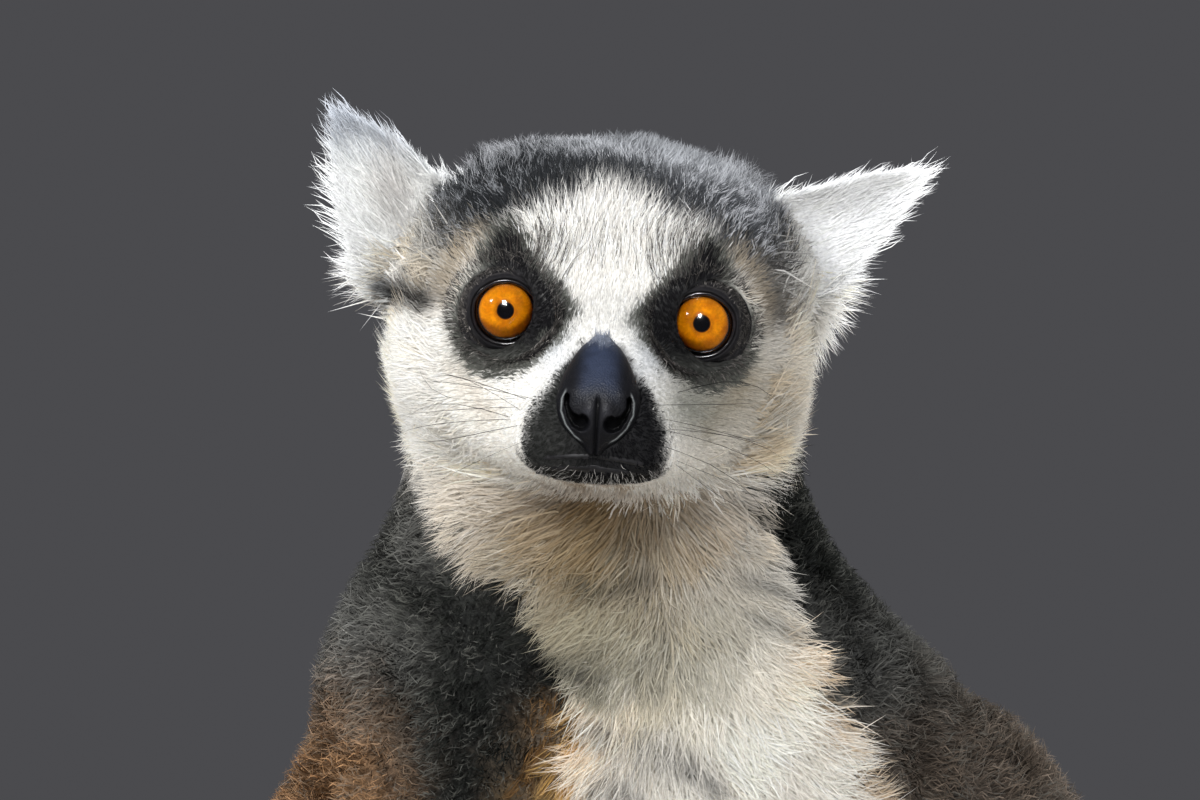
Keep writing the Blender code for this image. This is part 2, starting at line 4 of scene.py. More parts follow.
import bpy
import numpy as np
import openvdb
from mathutils.bvhtree import BVHTree
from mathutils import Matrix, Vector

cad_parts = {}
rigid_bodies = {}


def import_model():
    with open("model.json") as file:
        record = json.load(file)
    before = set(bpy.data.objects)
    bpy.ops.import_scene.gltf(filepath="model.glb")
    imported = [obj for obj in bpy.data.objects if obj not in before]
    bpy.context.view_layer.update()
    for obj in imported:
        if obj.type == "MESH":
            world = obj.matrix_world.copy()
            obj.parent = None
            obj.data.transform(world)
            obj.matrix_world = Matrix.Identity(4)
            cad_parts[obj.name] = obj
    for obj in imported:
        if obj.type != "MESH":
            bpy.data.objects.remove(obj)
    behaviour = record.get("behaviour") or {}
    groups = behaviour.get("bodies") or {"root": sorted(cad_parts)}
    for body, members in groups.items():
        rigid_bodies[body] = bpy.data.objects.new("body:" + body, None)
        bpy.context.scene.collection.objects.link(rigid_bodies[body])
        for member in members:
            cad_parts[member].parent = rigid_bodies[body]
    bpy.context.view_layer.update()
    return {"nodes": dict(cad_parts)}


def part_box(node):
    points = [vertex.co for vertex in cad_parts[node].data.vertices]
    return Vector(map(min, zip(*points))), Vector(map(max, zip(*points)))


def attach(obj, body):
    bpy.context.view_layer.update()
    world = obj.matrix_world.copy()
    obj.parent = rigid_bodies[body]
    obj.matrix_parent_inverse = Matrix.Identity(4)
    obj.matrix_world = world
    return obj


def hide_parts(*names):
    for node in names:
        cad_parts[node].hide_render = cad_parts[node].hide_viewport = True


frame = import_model()

# ---------------------------------------------------------------- floor, lamps and camera
# The model sits on a plain pale floor in a small studio: one large soft lamp high on the
# left, a weaker one on the right, one behind for the outline, and a long lens at eye height.
MM = 0.001


def paint(red, green, blue):
    """A colour given as 0 to 255, as the shader's linear light."""
    share = np.array([red, green, blue], float) / 255
    return np.where(share <= 0.04045, share / 12.92, ((share + 0.055) / 1.055) ** 2.4)


def wire(made, **inputs):
    """Gives each named input of a shader node a value, or links it to an output. A _ in a name
    stands for a space."""
    for name, value in inputs.items():
        socket = made.inputs[name.replace("_", " ")]
        if isinstance(value, bpy.types.NodeSocket):
            made.id_data.links.new(value, socket)
        else:
            socket.default_value = value
    return made


def node(tree, kind, settings=(), **inputs):
    """A new shader node of a kind, with its settings and inputs."""
    made = tree.nodes.new("ShaderNode" + kind)
    for name, value in dict(settings).items():
        setattr(made, name, value)
    return wire(made, **inputs)


def shader(name, roughness, **inputs):
    """A material, its node tree and its main shader."""
    material = bpy.data.materials.new(name)
    material.use_nodes = True
    tree = material.node_tree
    return material, tree, wire(tree.nodes["Principled BSDF"], Roughness=roughness, **inputs)


def mottle(tree, scale, detail, dark, light, low=0.3, high=0.7):
    """A colour that wanders between two, and the noise behind it, whose scale is in turns per
    metre of Object coordinates. low and high are where the colours stand on the noise."""
    cloud = node(tree, "TexNoise", Vector=node(tree, "TexCoord").outputs["Object"], Scale=scale,
        Detail=detail).outputs["Fac"]
    blend = node(tree, "ValToRGB", Fac=cloud)
    for element, place, colour in zip(blend.color_ramp.elements, (low, high), (dark, light)):
        element.position = place
        element.color = (*colour, 1)
    return blend.outputs["Color"], cloud


def stored(tree):
    """The colour that a piece carries at its points."""
    return node(tree, "Attribute", {"attribute_name": "coat"}).outputs["Color"]


def multiplied(tree, first, second, share=1):
    """One colour times a share of another."""
    return node(tree, "Mix", {"data_type": "RGBA", "blend_type": "MULTIPLY"}, Factor=share, A=first,
        B=second).outputs["Result"]


def two_shaders(tree, output, share, first, second):
    """Shows a share of the second shader's light, and the rest of the first's."""
    both = node(tree, "MixShader", Fac=share)
    tree.links.new(first, both.inputs[1])
    tree.links.new(second, both.inputs[2])
    wire(tree.nodes[output], Surface=both.outputs["Shader"])


def bump(tree, main, height, strength, distance):
    """Small relief on a shader's normal."""
    relief = node(tree, "Bump", Strength=strength, Distance=distance, Height=height)
    wire(main, Normal=relief.outputs["Normal"])


def add_piece(name, points, faces, material):
    """An object at the origin from points in millimetres and faces of three or four corners."""
    mesh = bpy.data.meshes.new(name)
    corners = faces.shape[1]
    mesh.vertices.add(len(points))
    mesh.vertices.foreach_set("co", (points * MM).astype(np.float32).ravel())
    mesh.loops.add(faces.size)
    mesh.loops.foreach_set("vertex_index", faces.astype(np.int32).ravel())
    mesh.polygons.add(len(faces))
    mesh.polygons.foreach_set("loop_start", np.arange(0, faces.size, corners, dtype=np.int32))
    mesh.polygons.foreach_set("use_smooth", np.ones(len(faces), bool))
    mesh.update(calc_edges=True)
    mesh.materials.append(material)
    piece = bpy.data.objects.new(name, mesh)
    bpy.context.scene.collection.objects.link(piece)
    return piece


def once_round(steps):
    """Evenly spread angles of one turn."""
    return np.linspace(0, 2 * math.pi, steps + 1)[:-1]


def bands(rows, steps, joined=False):
    """Faces of four corners between rows of points that each go once round. Where joined, the
    last row meets the first."""
    row, step = np.divmod(np.arange((rows - 1 + joined) * steps), steps)
    near, far, after = row * steps, (row + 1) % rows * steps, (step + 1) % steps
    return np.stack([near + step, far + step, far + after, near + after], axis=1)


def halved(quads):
    """Faces of four corners, each as two triangles."""
    return np.concatenate([quads[:, :3], quads[:, [0, 2, 3]]])


def shut_sheet(points, rows, columns, behind):
    """A sheet of rows by columns of points as triangles, its edge drawn together to one more
    point behind it, so that it is closed."""
    grid = np.arange(rows * columns).reshape(rows, columns)
    quads = np.stack([grid[:-1, :-1], grid[1:, :-1], grid[1:, 1:], grid[:-1, 1:]], axis=-1)
    rim = np.concatenate([grid[:-1, 0], grid[-1, :-1], grid[:0:-1, -1], grid[0, :0:-1]])
    return np.concatenate([points, [behind]]), np.concatenate([halved(quads.reshape(-1, 4)),
        np.stack([np.roll(rim, -1), rim, np.full(len(rim), rows * columns)], axis=1)])


FLOOR_STEPS = 96
turn = once_round(FLOOR_STEPS)
rings = np.array([0, 300, 900, 2500])
floor_points = np.stack([np.outer(rings, np.cos(turn)), np.outer(rings, np.sin(turn)),
    np.full((4, FLOOR_STEPS), -0.05)], axis=-1).reshape(-1, 3)
floor_paint, tree, main = shader("floor_paint", 0.7)
wire(main, Base_Color=mottle(tree, 6, 4, paint(206, 203, 198), paint(214, 211, 206))[0])
floor = add_piece("floor", floor_points, bands(4, FLOOR_STEPS), floor_paint)
floor.visible_glossy = False

HEAD_PLACE = (0, -0.08, 0.30)
# each lamp is square and soft, faces the head and is hidden from the camera itself; the last
# value says whether it leaves a highlight
for name, place, size, watts, glint in (
        ("key_lamp", (-1.25, -1, 1.2), 0.7, 42, False),
        ("fill_lamp", (1.3, -1.3, 0.6), 1.2, 14, False),
        ("rim_lamp", (0.6, 1.1, 1.4), 0.8, 38, False),
        ("catch_lamp", (-0.12, -1.55, 0.95), 0.26, 14, True),
        ("spark_lamp", (-1.05, -1.1, 1.05), 0.14, 2, True)):
    lamp = bpy.data.lights.new(name, "AREA")
    lamp.size, lamp.energy = size, watts
    holder = bpy.data.objects.new(name, lamp)
    bpy.context.scene.collection.objects.link(holder)
    aim = np.subtract(HEAD_PLACE, place)
    yaw, pitch = math.atan2(aim[1], aim[0]), math.atan2(math.hypot(aim[0], aim[1]), -aim[2])
    holder.location = place
    holder.rotation_euler = (pitch, 0, yaw - math.pi / 2)
    holder.visible_camera = False
    holder.visible_glossy = glint

world = bpy.data.worlds.new("studio")
world.use_nodes = True
bpy.context.scene.world = world
tree = world.node_tree
backdrop = wire(tree.nodes["Background"], Color=(0.070, 0.070, 0.076, 1))
surround = node(tree, "Background", Color=(0.82, 0.88, 1, 1), Strength=0.55)
ray = node(tree, "LightPath")
seen = node(tree, "Math", {"operation": "MAXIMUM"})
tree.links.new(ray.outputs["Is Camera Ray"], seen.inputs[0])
tree.links.new(ray.outputs["Is Glossy Ray"], seen.inputs[1])
two_shaders(tree, "World Output", seen.outputs["Value"], surround.outputs["Background"],
    backdrop.outputs["Background"])

CAMERA_PLACE, FOCAL_LENGTH, SENSOR_WIDTH = (-0.007, -2.088, 0.309), 310.3, 36
lens = bpy.data.cameras.new("camera")
lens.lens, lens.sensor_width = FOCAL_LENGTH, SENSOR_WIDTH
lens.clip_start, lens.clip_end = 0.1, 30
camera = bpy.data.objects.new("camera", lens)
camera.location = CAMERA_PLACE
camera.rotation_euler = (math.pi / 2, 0, 0)
bpy.context.scene.collection.objects.link(camera)
bpy.context.scene.camera = camera
bpy.context.scene.view_settings.view_transform = "Standard"

# ---------------------------------------------------------------- the tanned skin
# One skin drawn over the whole mannequin without a seam, from the muzzle to the tip of the
# tail. It lies under the coat by the depth of the fur, and is dyed as the coat over it.
SIDES = (("right", -1), ("left", 1))
CLOSING = 0.7  # carries the surface over the gaps between solids
CELL = 1.2
FLATNESS = 0.015  # lets even stretches have wider faces
HEAD_ROLL = math.radians(3.8)
TRUNK_TURN = math.radians(12)
TRUNK_AXIS = (0, 44, 0)  # the upright line that the trunk is turned round
EYE_SIDE = 19  # from the middle of the face to each eye
MOUTH = -28  # height of the slit of the lips on the face
SKIN_FLOOR, HAIR_FLOOR = 0.4, 0.3  # how near skin and hair come to the floor
FLESH = sorted(n for n in frame["nodes"] if not n.startswith("eye") and n != "nose")
eye_centres = {side: sum(np.array(corner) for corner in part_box(f"eye_{side}")) / 2 / MM
    for side in ("right", "left")}
FACE_ORIGIN = (eye_centres["right"] + eye_centres["left"]) / 2 + (-0.3, -4.6, 0)


def to_face(points):
    """World places as seen from the face: x across it, y backwards, z towards the crown."""
    x, y, z = np.moveaxis(points - FACE_ORIGIN, -1, 0)
    c, s = math.cos(HEAD_ROLL), math.sin(HEAD_ROLL)
    return np.stack([x * c - z * s, y, x * s + z * c], axis=-1)


def from_face(points):
    """Face places, or directions when the origin is taken off again, in the world."""
    x, y, z = np.moveaxis(np.asarray(points, float), -1, 0)
    c, s = math.cos(HEAD_ROLL), math.sin(HEAD_ROLL)
    return np.stack([x * c + z * s, y, -x * s + z * c], axis=-1) + FACE_ORIGIN


def from_trunk(points):
    """Places on the trunk's own axes, turned into the world."""
    x, y, z = np.moveaxis(np.asarray(points, float) - TRUNK_AXIS, -1, 0)
    c, s = math.cos(TRUNK_TURN), math.sin(TRUNK_TURN)
    return np.stack([x * c - y * s, x * s + y * c, z], axis=-1)


def unit(vectors):
    """Directions of length one."""
    return vectors / np.maximum(np.linalg.norm(vectors, axis=-1, keepdims=True), 1e-9)


def spot(x, wide, z=0, high=1):
    """One at the middle of a soft oval mark, and nought well outside it."""
    return np.exp(-(x / wide) ** 2 - (z / high) ** 2)


def ease(low, high, values):
    """Nought below low, one above high, and a smooth turn between them."""
    share = np.clip((np.asarray(values, float) - low) / (high - low), 0, 1)
    return share * share * (3 - 2 * share)


def loose_triangles(names):
    """The triangles of some solids in millimetres, and which solid each belongs to."""
    points, triangles, owners, count = [], [], [], 0
    for number, name in enumerate(names):
        mesh = bpy.data.objects[name].data
        mesh.calc_loop_triangles()
        places = np.empty(len(mesh.vertices) * 3, np.float32)
        corners = np.empty(len(mesh.loop_triangles) * 3, np.int32)
        mesh.vertices.foreach_get("co", places)
        mesh.loop_triangles.foreach_get("vertices", corners)
        points.append(places.reshape(-1, 3) / MM)
        triangles.append(corners.reshape(-1, 3) + count)
        owners.append(np.full(len(corners) // 3, number))
        count += len(places) // 3
    return np.concatenate(points), np.concatenate(triangles), np.concatenate(owners)


def drawn_over(names):
    """The closed surface CLOSING outside some solids: their distance field, cut once to shut
    the gaps, taken again, and averaged 1-2-1 along each axis, twice."""
    points, triangles, _ = loose_triangles(names)
    scale = openvdb.createLinearTransform(CELL)
    make = openvdb.FloatGrid.createLevelSetFromPolygons
    field = make(points.astype(np.float32), triangles=triangles.astype(np.uint32), transform=scale,
        halfWidth=3)
    points, _, quads = field.convertToPolygons(isovalue=CLOSING)
    field = make(points, quads=quads, transform=scale, halfWidth=5)
    low, high = field.evalActiveVoxelBoundingBox()
    values = np.empty([b - a + 1 for a, b in zip(low, high)], np.float32)
    field.copyToArray(values, low)
    for axis in (0, 1, 2, 0, 1, 2):
        line = np.moveaxis(values, axis, 0)
        line[1:-1] = (line[:-2] + 2 * line[1:-1] + line[2:]) / 4
    smoothed = openvdb.FloatGrid(field.background)
    smoothed.transform = scale
    smoothed.gridClass = openvdb.GridClass.LEVEL_SET
    smoothed.copyFromArray(values, low)
    points, triangles, quads = smoothed.convertToPolygons(isovalue=0, adaptivity=FLATNESS)
    faces = np.concatenate([triangles, halved(quads)])
    return points.astype(float), faces[:, ::-1].astype(np.int64)


skin_points, skin_faces = drawn_over(FLESH)
pairs = np.sort(skin_faces[:, [[0, 1], [1, 2], [2, 0]]].reshape(-1, 2), axis=1)
pairs = np.unique(pairs[:, 0] * len(skin_points) + pairs[:, 1])
skin_edges = np.stack([pairs // len(skin_points), pairs % len(skin_points)], axis=1)
neighbours = np.bincount(skin_edges.ravel(), minlength=len(skin_points)).clip(1)


def settle(values, rounds, hold=0):
    """Values at the skin's points, each moved towards the mean of its neighbours, many times."""
    values = np.array(values, float)
    for _ in range(rounds):
        flat = values.reshape(len(values), -1)
        mean = np.stack([np.bincount(skin_edges[:, 0], column[skin_edges[:, 1]], len(flat)) +
            np.bincount(skin_edges[:, 1], column[skin_edges[:, 0]], len(flat)) for column in flat.T],
            axis=1) / neighbours[:, None]
        values = (flat * hold + mean * (1 - hold)).reshape(values.shape)
    return values


def outward(points, faces):
    """The direction away from the body at each point: the mean of its faces' normals by area."""
    a, b, c = (points[faces[:, k]] for k in range(3))
    across = np.cross(b - a, c - a)
    total = np.stack([sum(np.bincount(faces[:, k], across[:, axis], len(points)) for k in range(3))
        for axis in range(3)], axis=1)
    return unit(total)


flesh_points, flesh_triangles, flesh_owner = loose_triangles(FLESH)
flesh_tree = BVHTree.FromPolygons(flesh_points.tolist(), flesh_triangles.tolist())
nearest = np.array([flesh_tree.find_nearest(p)[2] for p in skin_points.tolist()])
skin_part = np.array(FLESH)[flesh_owner[nearest]]

# joints on the trunk's axes, and the middle line of the tail, as the mannequin has them
JOINTS = {
    "right": {"shoulder": (-50, 8, 228), "elbow": (-82, 36, 160), "wrist": (-68, -48, 173),
              "knuckles": (-67, -76, 158), "fingertips": (-66, -86, 126), "hip": (-36, 44, 50),
              "knee": (-75, -50, 140), "ankle": (-62, 2, 27), "heel": (-61, 20, 12),
              "toes": (-69, -96, 5)},
    "left": {"shoulder": (50, 8, 227), "elbow": (104, 30, 164), "wrist": (82, -50, 176),
             "knuckles": (83, -78, 161), "fingertips": (83, -88, 129), "hip": (36, 44, 50),
             "knee": (85, -52, 142), "ankle": (66, 4, 27), "heel": (64, 22, 12),
             "toes": (79, -94, 5)},
}
SEGMENTS = {"upper_arm": ("shoulder", "elbow"), "forearm": ("elbow", "wrist"),
            "hand": ("wrist", "fingertips"), "thigh": ("hip", "knee"),
            "shank": ("knee", "ankle"), "foot": ("heel", "toes")}
TAIL_STOPS = from_trunk([(-2, 84, 27), (-14, 120, 19), (-52, 143, 16.4), (-102, 129, 16.4),
    (-138, 85, 16.4), (-152, 28, 16.4), (-150, -30, 16.4), (-132, -84, 16.4), (-98, -125, 16.4),
    (-50, -146, 16.4), (-4, -147, 16.2), (33, -133, 15.6)])


def through(stops, count):
    """Evenly spaced points of a smooth curve through stops: cubic pieces, each with tangents
    half the step between its neighbours."""
    stops = np.asarray(stops, float)
    ends = np.concatenate([[2 * stops[0] - stops[1]], stops, [2 * stops[-1] - stops[-2]]])
    at = np.linspace(0, len(stops) - 1, count * 4)
    low = np.minimum(at.astype(int), len(stops) - 2)
    t = (at - low)[:, None]
    a, b, c, d = (ends[low + k] for k in range(4))
    curve = 0.5 * (2 * b + (c - a) * t + (2 * a - 5 * b + 4 * c - d) * t * t +
        (3 * b - a - 3 * c + d) * t ** 3)
    run = np.concatenate([[0], np.cumsum(np.linalg.norm(np.diff(curve, axis=0), axis=1))])
    even = np.linspace(0, run[-1], count)
    return np.stack([np.interp(even, run, column) for column in curve.T], axis=1)


tail_line = through(TAIL_STOPS, 200)
tail_heading = unit(np.gradient(tail_line, axis=0))


def along_tail(points):
    """For each place, the number of the nearest point of the tail's middle line."""
    gaps = ((points[:, None, :2] - tail_line[None, :, :2]) ** 2).sum(axis=2)
    return gaps.argmin(axis=1)


HEAD_PARTS = ("head", "muzzle", "lower_jaw")
EARS = {"right": ((-33, 27, 13), (-57, 28, 39)), "left": ((34, 27, 17), (63, 30, 34))}
NOSE_TIP = np.array((0, -37, -18))


def coat_lay(points, parts):
    """Which way the hair lies at each place: away from the nose over the face and crown, down
    the neck and trunk, towards the end of each limb, of each ear and of the tail."""
    lay = np.tile((0.0, 0.0, -1.0), (len(points), 1))
    x, y, z = points.T
    sideways = np.clip((x - 6) / 26, -1, 1) * ease(30, 0, y)
    lay[:, 0] = sideways * np.interp(z, [100, 200, 235, 256, 290], [0.2, 0.9, 1.7, 2, 2.6])
    for side, joints in JOINTS.items():
        for segment, (start, end) in SEGMENTS.items():
            run = from_trunk(joints[end]) - from_trunk(joints[start])
            lay[parts == f"{segment}_{side}"] = unit(run)
        base, tip = (np.array(place) for place in EARS[side])
        ear = parts == f"ear_{side}"
        fan = base - 0.35 * (tip - base)
        lay[ear] = from_face(unit(to_face(points[ear]) - fan)) - FACE_ORIGIN
    tail = np.char.startswith(parts, "tail")
    lay[tail] = tail_heading[along_tail(points[tail])]
    head = np.isin(parts, HEAD_PARTS)
    place = to_face(points[head])
    away = unit(place - NOSE_TIP)
    behind = ease(20, 45, place[:, 1:2])
    away = away * (1 - behind) + behind * np.array((0, 0.3, -1))
    for side in (-1, 1):
        from_eye = place - (side * EYE_SIDE, -4, 0)
        near = 0.75 * (1 - ease(9, 17, np.linalg.norm(from_eye, axis=1)))[:, None]
        away = away * (1 - near) + near * unit(from_eye)
    lay[head] = from_face(away) - FACE_ORIGIN
    return lay


WHITE, CREAM, OCHRE = paint(250, 247, 241), paint(249, 245, 237), paint(220, 174, 92)
GREY, BROWN = paint(112, 111, 107), paint(156, 116, 76)
BLACK, BELLY_WHITE, SILVER = paint(22, 22, 25), paint(240, 236, 227), paint(206, 208, 211)


def mix(below, above, share):
    """One colour turning into another by a share from nought to one at each place. Three
    numbers stand for a paint."""
    below, above = (paint(*tone) if isinstance(tone, tuple) else tone for tone in (below, above))
    share = np.asarray(share)[:, None]
    return below * (1 - share) + above * share


def waver(points, length, seed):
    """A slow swing from -1 to 1 over space for each of three axes: the mean of seven sine
    waves in fixed random directions, about that many millimetres long."""
    draw = np.random.default_rng(seed)
    total = np.zeros((len(points), 3))
    for _ in range(7):
        heading = unit(draw.normal(size=(3, 3))) * draw.uniform(0.6, 1.6, (3, 1))
        total += np.sin(points @ heading.T * 2 * math.pi / length + draw.uniform(0, 6.3, 3))
    return total / 3.2


def stroke(x, z, line):
    """Distance in the front view to a line of points, and the share of the way along it."""
    line = np.array(line, float)
    best, share = np.full(x.shape, np.inf), np.zeros(x.shape)
    for k, (a, b) in enumerate(zip(line[:-1], line[1:])):
        run = b - a
        t = np.clip(((x - a[0]) * run[0] + (z - a[1]) * run[1]) / (run @ run), 0, 1)
        gap = np.hypot(x - a[0] - t * run[0], z - a[1] - t * run[1])
        nearer = gap < best
        best = np.where(nearer, gap, best)
        share = np.where(nearer, (k + t) / (len(line) - 1), share)
    return best, share


def head_dye(points):
    """Colours of the head in the face's own axes: white face, dark cap down to a rounded peak
    over the brow, a dark patch round each eye drawn up and inwards, and a black muzzle. Painted
    shade lies on the cheek at plus x, beside the muzzle, between the eyes, under the chin, beside
    the ear at minus x and in its opening; painted light on the crown and the muzzle's minus x side."""
    x, y, z = (to_face(points) + waver(points, 5, 11) * 0.7).T
    across = np.abs(x)
    colour = mix(WHITE, CREAM, 0.6 * ease(-12, -26, z) * ease(-26, -8, y))
    tan = 0.3 * spot(stroke(across, z, [(27.5, -11), (25, -14.5), (21, -19.5)])[0], 2.2)
    arc = stroke(across, z, [(24, 16), (27.5, 12), (31, 6), (32, 0)])[0]
    arc = spot(arc, 2.6) * ease(-6, 6, z)
    colour = mix(colour, (160, 144, 118), np.clip(tan * (1 + ease(-4, 4, x)) + 0.85 * arc, 0, 1))
    # painted shade, slightly warm, on the cheek at plus x; a painted shadow beside the muzzle at plus x;
    # painted shade between the eyes against the key lamp's bright spot; and the cool grey fur beside the
    # nose
    for x_now, place, wide, height, high, tone, share in (
            (x, 27, 11, -12, 12, (178, 168, 148), 0.75),
            (x, 18, 6, -16, 5, (150, 151, 139), 0.75),
            (x, 0, 6, 1, 7, (228, 227, 223), 0.6),
            (across, 9, 4, -7, 6, (176, 184, 194), 0.45)):
        colour = mix(colour, tone, share * spot(x_now - place, wide, z - height, high))
    # tan under the chin: partly the fur's own tan, partly painted shade beneath the jaw
    chin = np.maximum(ease(-31, -37, z), ease(-30.2, -32.5, z) * ease(17, 10, across))
    chin = chin * ease(12, -8, y) * ease(30, 17, across)
    colour = mix(colour, (168, 146, 118), 0.85 * chin)
    edge = np.interp(across, [0, 4, 8, 13, 17, 20, 22, 26, 29, 32, 36, 44],
        [25.6, 24.4, 22.8, 20.6, 19, 17.6, 16, 14.4, 12.8, 10.5, 9, 7])
    cap = np.maximum(ease(-2.2, 2.2, z - edge), ease(28, 38, y))
    cap = cap * np.maximum(ease(35.5, 32, across), ease(24, 31, y))
    # painted light: the silver band on the crown is partly the fur's silver and partly a painted
    # highlight, stronger and lower towards plus x; the cap's front is painted lighter towards plus x
    crown = ease(29, 33, z + 0.25 * np.maximum(x, 0)) * ease(36, 18, y) * (0.65 + 0.35 * ease(-20, 5, x))
    front = mix((42, 44, 46), (82, 84, 87), ease(-26, 26, x))
    nape = ease(22, 40, y) * ease(24, -6, z)
    dark = mix(mix(front, SILVER, 0.9 * crown), (104, 98, 90), 0.85 * nape)
    colour = mix(colour, dark, cap)
    temple, _ = stroke(across, z, [(30, 15), (33, 9), (33.5, 2)])
    colour = mix(colour, (84, 80, 74), spot(temple, 2.2) * (0.25 + 0.5 * ease(-6, 6, x)) *
        ease(24, 16, y))
    # painted shade beside the ear at minus x
    colour = mix(colour, (166, 162, 152), 0.5 * spot(x + 36, 5.5, z - 11, 6))
    # painted shade in the opening of the ear
    ear_opening_shade = spot(x + 38.5, 4.2, z - 1.8, 1.9)
    colour = mix(colour, (60, 54, 50), np.clip(1.2 * ear_opening_shade, 0, 0.9))
    heights = [-13.8, -12, -10, -7, -3, 0, 2, 5, 7, 10, 13, 15.5, 17.5]
    inner = np.interp(z, heights, [21, 15.5, 12.2, 9.8, 6.4, 5.2, 5.4, 7.6, 10, 12.6, 14.8, 16.6, 19.4])
    outer = np.interp(z, heights, [21, 25, 27.3, 29, 30, 30, 29.5, 28, 26.4, 25, 24, 22.4, 19.4])
    within = np.minimum(across - inner, outer - across)
    within = np.where((z < -13.8) | (z > 17.5), -9, within)
    depth = ease(0.5, 3.5, within) * (0.35 + 0.65 * ease(-12, -4, z))
    soot = mix((108, 109, 102), (30, 29, 31), depth)
    colour = mix(colour, soot, ease(-1.3, 0.9, within) * ease(24, 14, y))
    half = np.interp(z, [-33.4, -32.4, -30.5, -27, -22, -19, -16.5, -12, -8, -3],
        [6, 11.6, 13.4, 14, 13.8, 13, 11.4, 8.4, 5.4, 2.4])
    muzzle = ease(0.9, -0.9, across - half) * ease(-4.5, -6, z) * ease(-14, -19, y)
    # painted light: the black muzzle is lighter towards minus x, where the key lamp catches it
    black = mix(BLACK, (42, 43, 41), ease(2, -9, x))
    return mix(colour, black, muzzle * ease(-34, -32.6, z))


def pale_front(x, y, z):
    """How far each place lies inside the cream front seen from ahead, and how far behind the
    middle of the trunk."""
    middle = np.interp(z, [60, 124, 156, 186, 214, 238, 258, 272, 288, 306],
        [57, 57, 50, 40, 28, 16, 7, 1, -5, -9])
    turned = from_trunk(np.stack([x * 0, middle, z], axis=1))
    heights = [60, 120, 200, 229, 249, 260, 275, 291, 310]
    left_edge = np.interp(z, heights, [-44, -40, -26, -19, -13, -11, -20, -36, -46])
    right_edge = np.interp(z, heights, [48, 46, 47, 46, 38, 30, 24, 22, 30])
    return np.minimum(x - left_edge, right_edge - x), y - turned[:, 1]


# painted shadows in the chest's partings, the notch beside it and one ear's opening: each stroke, its
# half width and how dark it is
PAINTED_CREASE_SHADOWS = (([(-11.5, 245), (-5, 243.7), (-0.8, 241.8), (6.3, 239.2), (11.5, 236.6), (17, 232)], 2, 0.6),
    ([(-20, 257.5), (-11, 255.5), (-6.6, 253)], 2, 0.75), ([(1, 252.8), (4.5, 252.8)], 1.6, 0.5),
    ([(-12, 274), (-9, 271.5), (-4, 272), (1.5, 273.6)], 1.7, 0.6),
    ([(-7, 280.2), (1, 277.6)], 1.8, 0.35), ([(-9, 260.5), (-1, 257), (5, 260.5)], 2.4, 0.25),
    ([(-7, 234), (-1, 231)], 2.2, 0.55), ([(18, 290), (30, 283)], 1.6, 0.3),
    ([(21, 274), (31, 271)], 1.6, 0.4), ([(23, 266.5), (34, 263)], 1.6, 0.35),
    ([(-50.5, 331), (-46, 329.5), (-41, 328.5)], 2, 0.85),)


def painted_crease_shade(points):
    """How much light each place keeps, from nought to one, as painted shade: strokes in the front view
    paint shadow into the partings of the chest, the notch beside it and the opening of one ear."""
    x, y, z = (points + waver(points, 5, 13) * 0.6).T
    light = np.ones(len(x))
    ahead = np.where(z > 320, y < 48, pale_front(x, y, z)[1] < 4)
    near = ahead & (z > 225) & (z < 340) & (np.abs(x) < 60)
    for line, half, dark in PAINTED_CREASE_SHADOWS:
        gap, _ = stroke(x[near], z[near], line)
        light[near] *= 1 - dark * spot(gap, half)
    return light


# painted shadow of the head over the throat's own tan-grey: the heights and the tones it darkens to
THROAT_SHADOW_HEIGHTS = [252, 257, 263, 272, 282, 290]
THROAT_SHADOW_TONES = np.array([CREAM, paint(214, 209, 193), paint(180, 175, 156), paint(172, 163, 140),
    paint(152, 136, 108), paint(136, 114, 82)])


def paleness(points):
    """One where the trunk is cream and nought where it is dark, with a wavering border."""
    x, y, z = (points + waver(points, 14, 12) * 2.5).T
    inside, depth_side = pale_front(x, y, z)
    return ease(-3, 4, inside) * ease(10, -8, depth_side)


def trunk_dye(points):
    """Colours of the trunk: a cream front between dark shoulders that narrows to the left
    of the throat, a grey-brown back, and grey fur mixed with black on the neck. The throat's own
    tan-grey carries a painted shadow of the head."""
    x, y, z = (points + waver(points, 14, 12) * 2.5).T
    inside, depth_side = pale_front(x, y, z)
    colour = mix((34, 36, 33), GREY, np.maximum(ease(-20, -48, inside),
        0.65 * np.maximum(ease(270, 284, z) * ease(10, -10, x), 0.8 * ease(10, 30, x) *
        ease(278, 260, z))))
    colour = mix(colour, BROWN, 0.3 * ease(150, 90, z))
    back = ease(0, 30, depth_side)
    colour = mix(colour, (119, 109, 98), 0.8 * back)
    for sign, strength in ((-1, 0.8), (1, 0.2)):
        out = sign * (x + waver(points, 18, 14)[:, 0] * 3)
        low = ease(10, -20, z - 254 + 1.5 * np.maximum(50 - out, 0))
        patch = strength * ease(34, 56, out) * low * ease(36, 4, y) * ease(150, 200, z)
        colour = mix(colour, BROWN, patch)
    to_left = ease(16, 6, x)
    rim = to_left * spot(inside - 2, 5.2) * ease(257, 251, z)
    singed = to_left * spot(inside + 3.5, 3) * ease(257, 251, z)
    colour = mix(colour, (150, 112, 66), 0.75 * singed * ease(4, -10, depth_side))
    far_rim = (1 - to_left) * spot(inside - 3, 4) * ease(268, 258, z)
    # painted shadow: the middle of the throat darkened under the head, over its own tan-grey
    shaded = np.stack([np.interp(z, THROAT_SHADOW_HEIGHTS, column) for column in THROAT_SHADOW_TONES.T], axis=1)
    middle = spot(x + 7, np.where(x < -7, 20, 24))
    cream = mix(CREAM, shaded, middle)
    cream = mix(cream, OCHRE, np.clip(0.95 * rim + 0.5 * far_rim, 0, 1))
    return mix(colour, cream, paleness(points))


